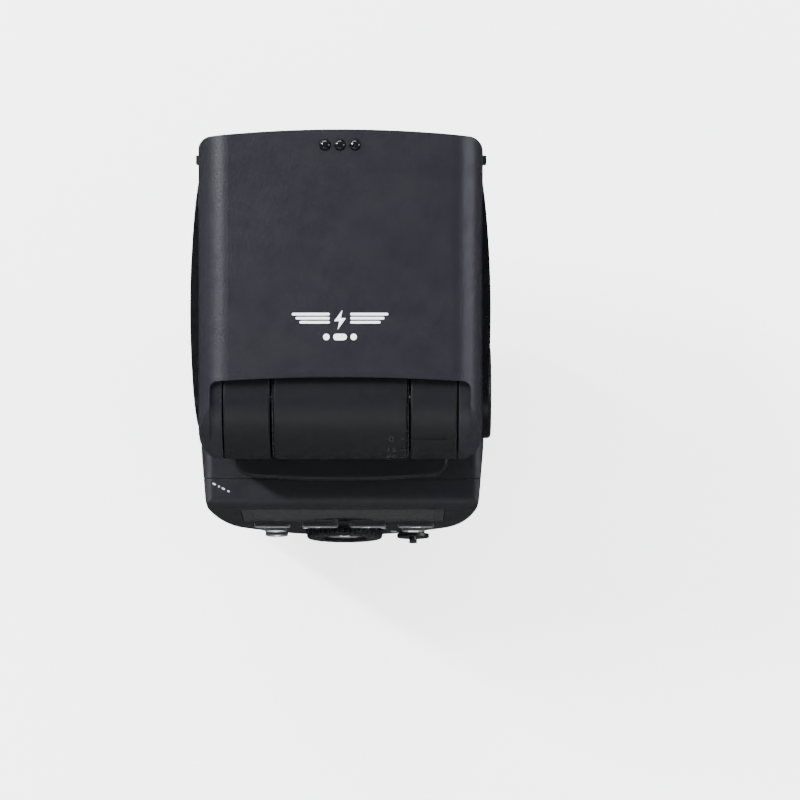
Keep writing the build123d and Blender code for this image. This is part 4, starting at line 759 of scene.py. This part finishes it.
def fresnel_lens():
    """The clear front panel, its outside cut into straight prisms that deepen away from the middle."""
    low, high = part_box("fresnel_panel")
    corner, prism, depth, tip = 2.2 * MM, 0.85 * MM, 0.36 * MM, 0.01 * MM
    front, back = low.y + 0.05 * MM, high.y
    middle, half_z, half_x = (low.z + high.z) / 2, (high.z - low.z) / 2, (high.x - low.x) / 2
    profile = []
    count = round(2 * half_z / prism)
    for k in range(count):
        bottom, top = (-half_z + 2 * half_z * i / count for i in (k, k + 1))
        cut = depth * (0.35 + 0.65 * min(abs(bottom + top) / 2 / half_z * 1.15, 1))
        outer, inner = (top - tip, bottom) if bottom + top > 0 else (bottom + tip, top)
        profile += sorted(((outer, front), (inner, front + cut)))

    def reach(z):
        """Half the panel's width at a height, with rounded corners."""
        over = max(abs(z) - (half_z - corner), 0)
        return half_x - corner + math.sqrt(max(corner**2 - over**2, 0))

    columns = (-1, -0.33, 0.33, 1)
    bm = bmesh.new()
    rows = [[bm.verts.new((s * reach(z), y, middle + z)) for s in columns] for z, y in profile]
    backs = [[bm.verts.new((s * reach(z), back, middle + z)) for s in columns] for z, _ in profile]
    for a, b, c, d in zip(rows, rows[1:], backs, backs[1:]):
        for k in range(3):
            bm.faces.new((a[k], a[k + 1], b[k + 1], b[k]))
            bm.faces.new((c[k], d[k], d[k + 1], c[k + 1]))
        bm.faces.new((a[0], b[0], d[0], c[0]))
        bm.faces.new((a[3], c[3], d[3], b[3]))
    for row, behind in ((rows[0], backs[0]), (rows[-1], backs[-1])):
        for k in range(3):
            bm.faces.new((row[k], row[k + 1], behind[k + 1], behind[k]))
    lens = piece("fresnel_lens", bm, fresnel_clear, "head")
    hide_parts("fresnel_panel")


for shell_name in ("front_shell", "rear_shell"):
    soften_facets(shell_name, broad=(3 * MM) ** 2, crease=math.radians(10))
lid_mark()
angle_scale()
gap_rings()
key_marks()
panel_marks()
display_marks()
door_marks()
foot_marks()
fresnel_lens()
corner_print()


# ---- Camera, floor and light -------------------------------------------------------------------------

VIEW_WIDTH = 187.52 * MM  # how much of the lid's level the picture takes in
VIEW_MID_X, VIEW_MID_Y = -14.064 * MM, 1.8752 * MM
CAMERA_RISE = 1.0
SENSOR = 36.0

camera_data = bpy.data.cameras.new("camera")
camera_data.sensor_width = SENSOR
camera_data.lens = SENSOR * CAMERA_RISE / VIEW_WIDTH
camera_data.clip_end = 10
camera = bpy.data.objects.new("camera", camera_data)
camera.location = (VIEW_MID_X, VIEW_MID_Y, LID_TOP + CAMERA_RISE)
camera.rotation_euler = (0, 0, math.pi)
bpy.context.scene.collection.objects.link(camera)
bpy.context.scene.camera = camera

FLOOR_HALF = 9
FLOOR_GAP = 0.2 * MM  # between the foot and the floor
SWEEP_START, SWEEP_RISE = 3.5, 0.30  # where the floor starts to rise, and how fast
TARGET = (0, -0.02, 0.10)  # where the lights point

# Background brightness by height: 0 is straight down, 0.5 the horizon and 1 straight up
WORLD_LEVELS = (
    (0.0, 0.07), (0.35, 0.10), (0.47, 0.15), (0.52, 0.14), (0.64, 0.09), (0.80, 0.05), (1.0, 0.05),
)


def studio_floor():
    """A pale, glowing floor just under the foot, flat near the flash and rising far out all round."""
    s = Surface("floor_paper", (0.90, 0.90, 0.90), 0.75, specular=0.2)
    s.set("Emission Color", (1.0, 1.0, 1.0, 1))
    s.set("Emission Strength", 1.8)
    s.vary(0.01, 3.0, 0.05, 40.0)
    s.bump(s.noise(900.0, 3.0), 0.02 * MM, 0.3)
    floor_level = CAD_BOX[0][2] - FLOOR_GAP
    bm = bmesh.new()
    bmesh.ops.create_grid(bm, x_segments=60, y_segments=60, size=FLOOR_HALF)
    for v in bm.verts:
        v.co.z = floor_level + SWEEP_RISE * max(v.co.length - SWEEP_START, 0) ** 2
    for face in bm.faces:
        face.smooth = True
    floor = shown("floor", bm, s)
    floor.visible_glossy = False
    floor.visible_transmission = False


def area_light(name, at, size, power, colour):
    """A rectangular light of that size in metres and power in watts, aimed at the flash."""
    data = bpy.data.lights.new(name, "AREA")
    data.shape = "RECTANGLE"
    data.size, data.size_y = size
    data.energy = power
    data.color = colour
    lamp = bpy.data.objects.new(name, data)
    lamp.location = at
    lamp.rotation_euler = (Vector(TARGET) - Vector(at)).to_track_quat("-Z", "Y").to_euler()
    bpy.context.scene.collection.objects.link(lamp)


def studio_world():
    """Soft light from all round: dim overhead and brightest near the horizon."""
    world = bpy.data.worlds.new("studio")
    world.use_nodes = True
    nodes, links = world.node_tree.nodes, world.node_tree.links
    split = nodes.new("ShaderNodeSeparateXYZ")
    links.new(nodes.new("ShaderNodeTexCoord").outputs["Generated"], split.inputs["Vector"])
    height = nodes.new("ShaderNodeMapRange")
    height.inputs["From Min"].default_value = -1
    links.new(split.outputs["Z"], height.inputs["Value"])
    ramp = nodes.new("ShaderNodeValToRGB")
    while len(ramp.color_ramp.elements) < len(WORLD_LEVELS):
        ramp.color_ramp.elements.new(1)
    for element, (position, level) in zip(ramp.color_ramp.elements, WORLD_LEVELS):
        element.position = position
        element.color = (level * 0.95, level * 0.97, level, 1)
    links.new(height.outputs["Result"], ramp.inputs["Fac"])
    links.new(ramp.outputs["Color"], nodes["Background"].inputs["Color"])
    bpy.context.scene.world = world


studio_floor()
area_light("left_strip", (0.93, -0.58, 1.00), (0.09, 0.8), 39.0, (0.92, 0.93, 1.0))
area_light("right_strip", (-1.25, -0.15, 0.62), (0.26, 1.2), 7.5, (0.84, 0.88, 1.0))
area_light("front_box", (0.3, -1.5, 0.70), (1.6, 0.5), 26.0, (0.95, 0.96, 1.0))
area_light("rear_box", (0.2, 1.05, 1.20), (1.4, 0.4), 3.6, (0.95, 0.96, 1.0))
studio_world()
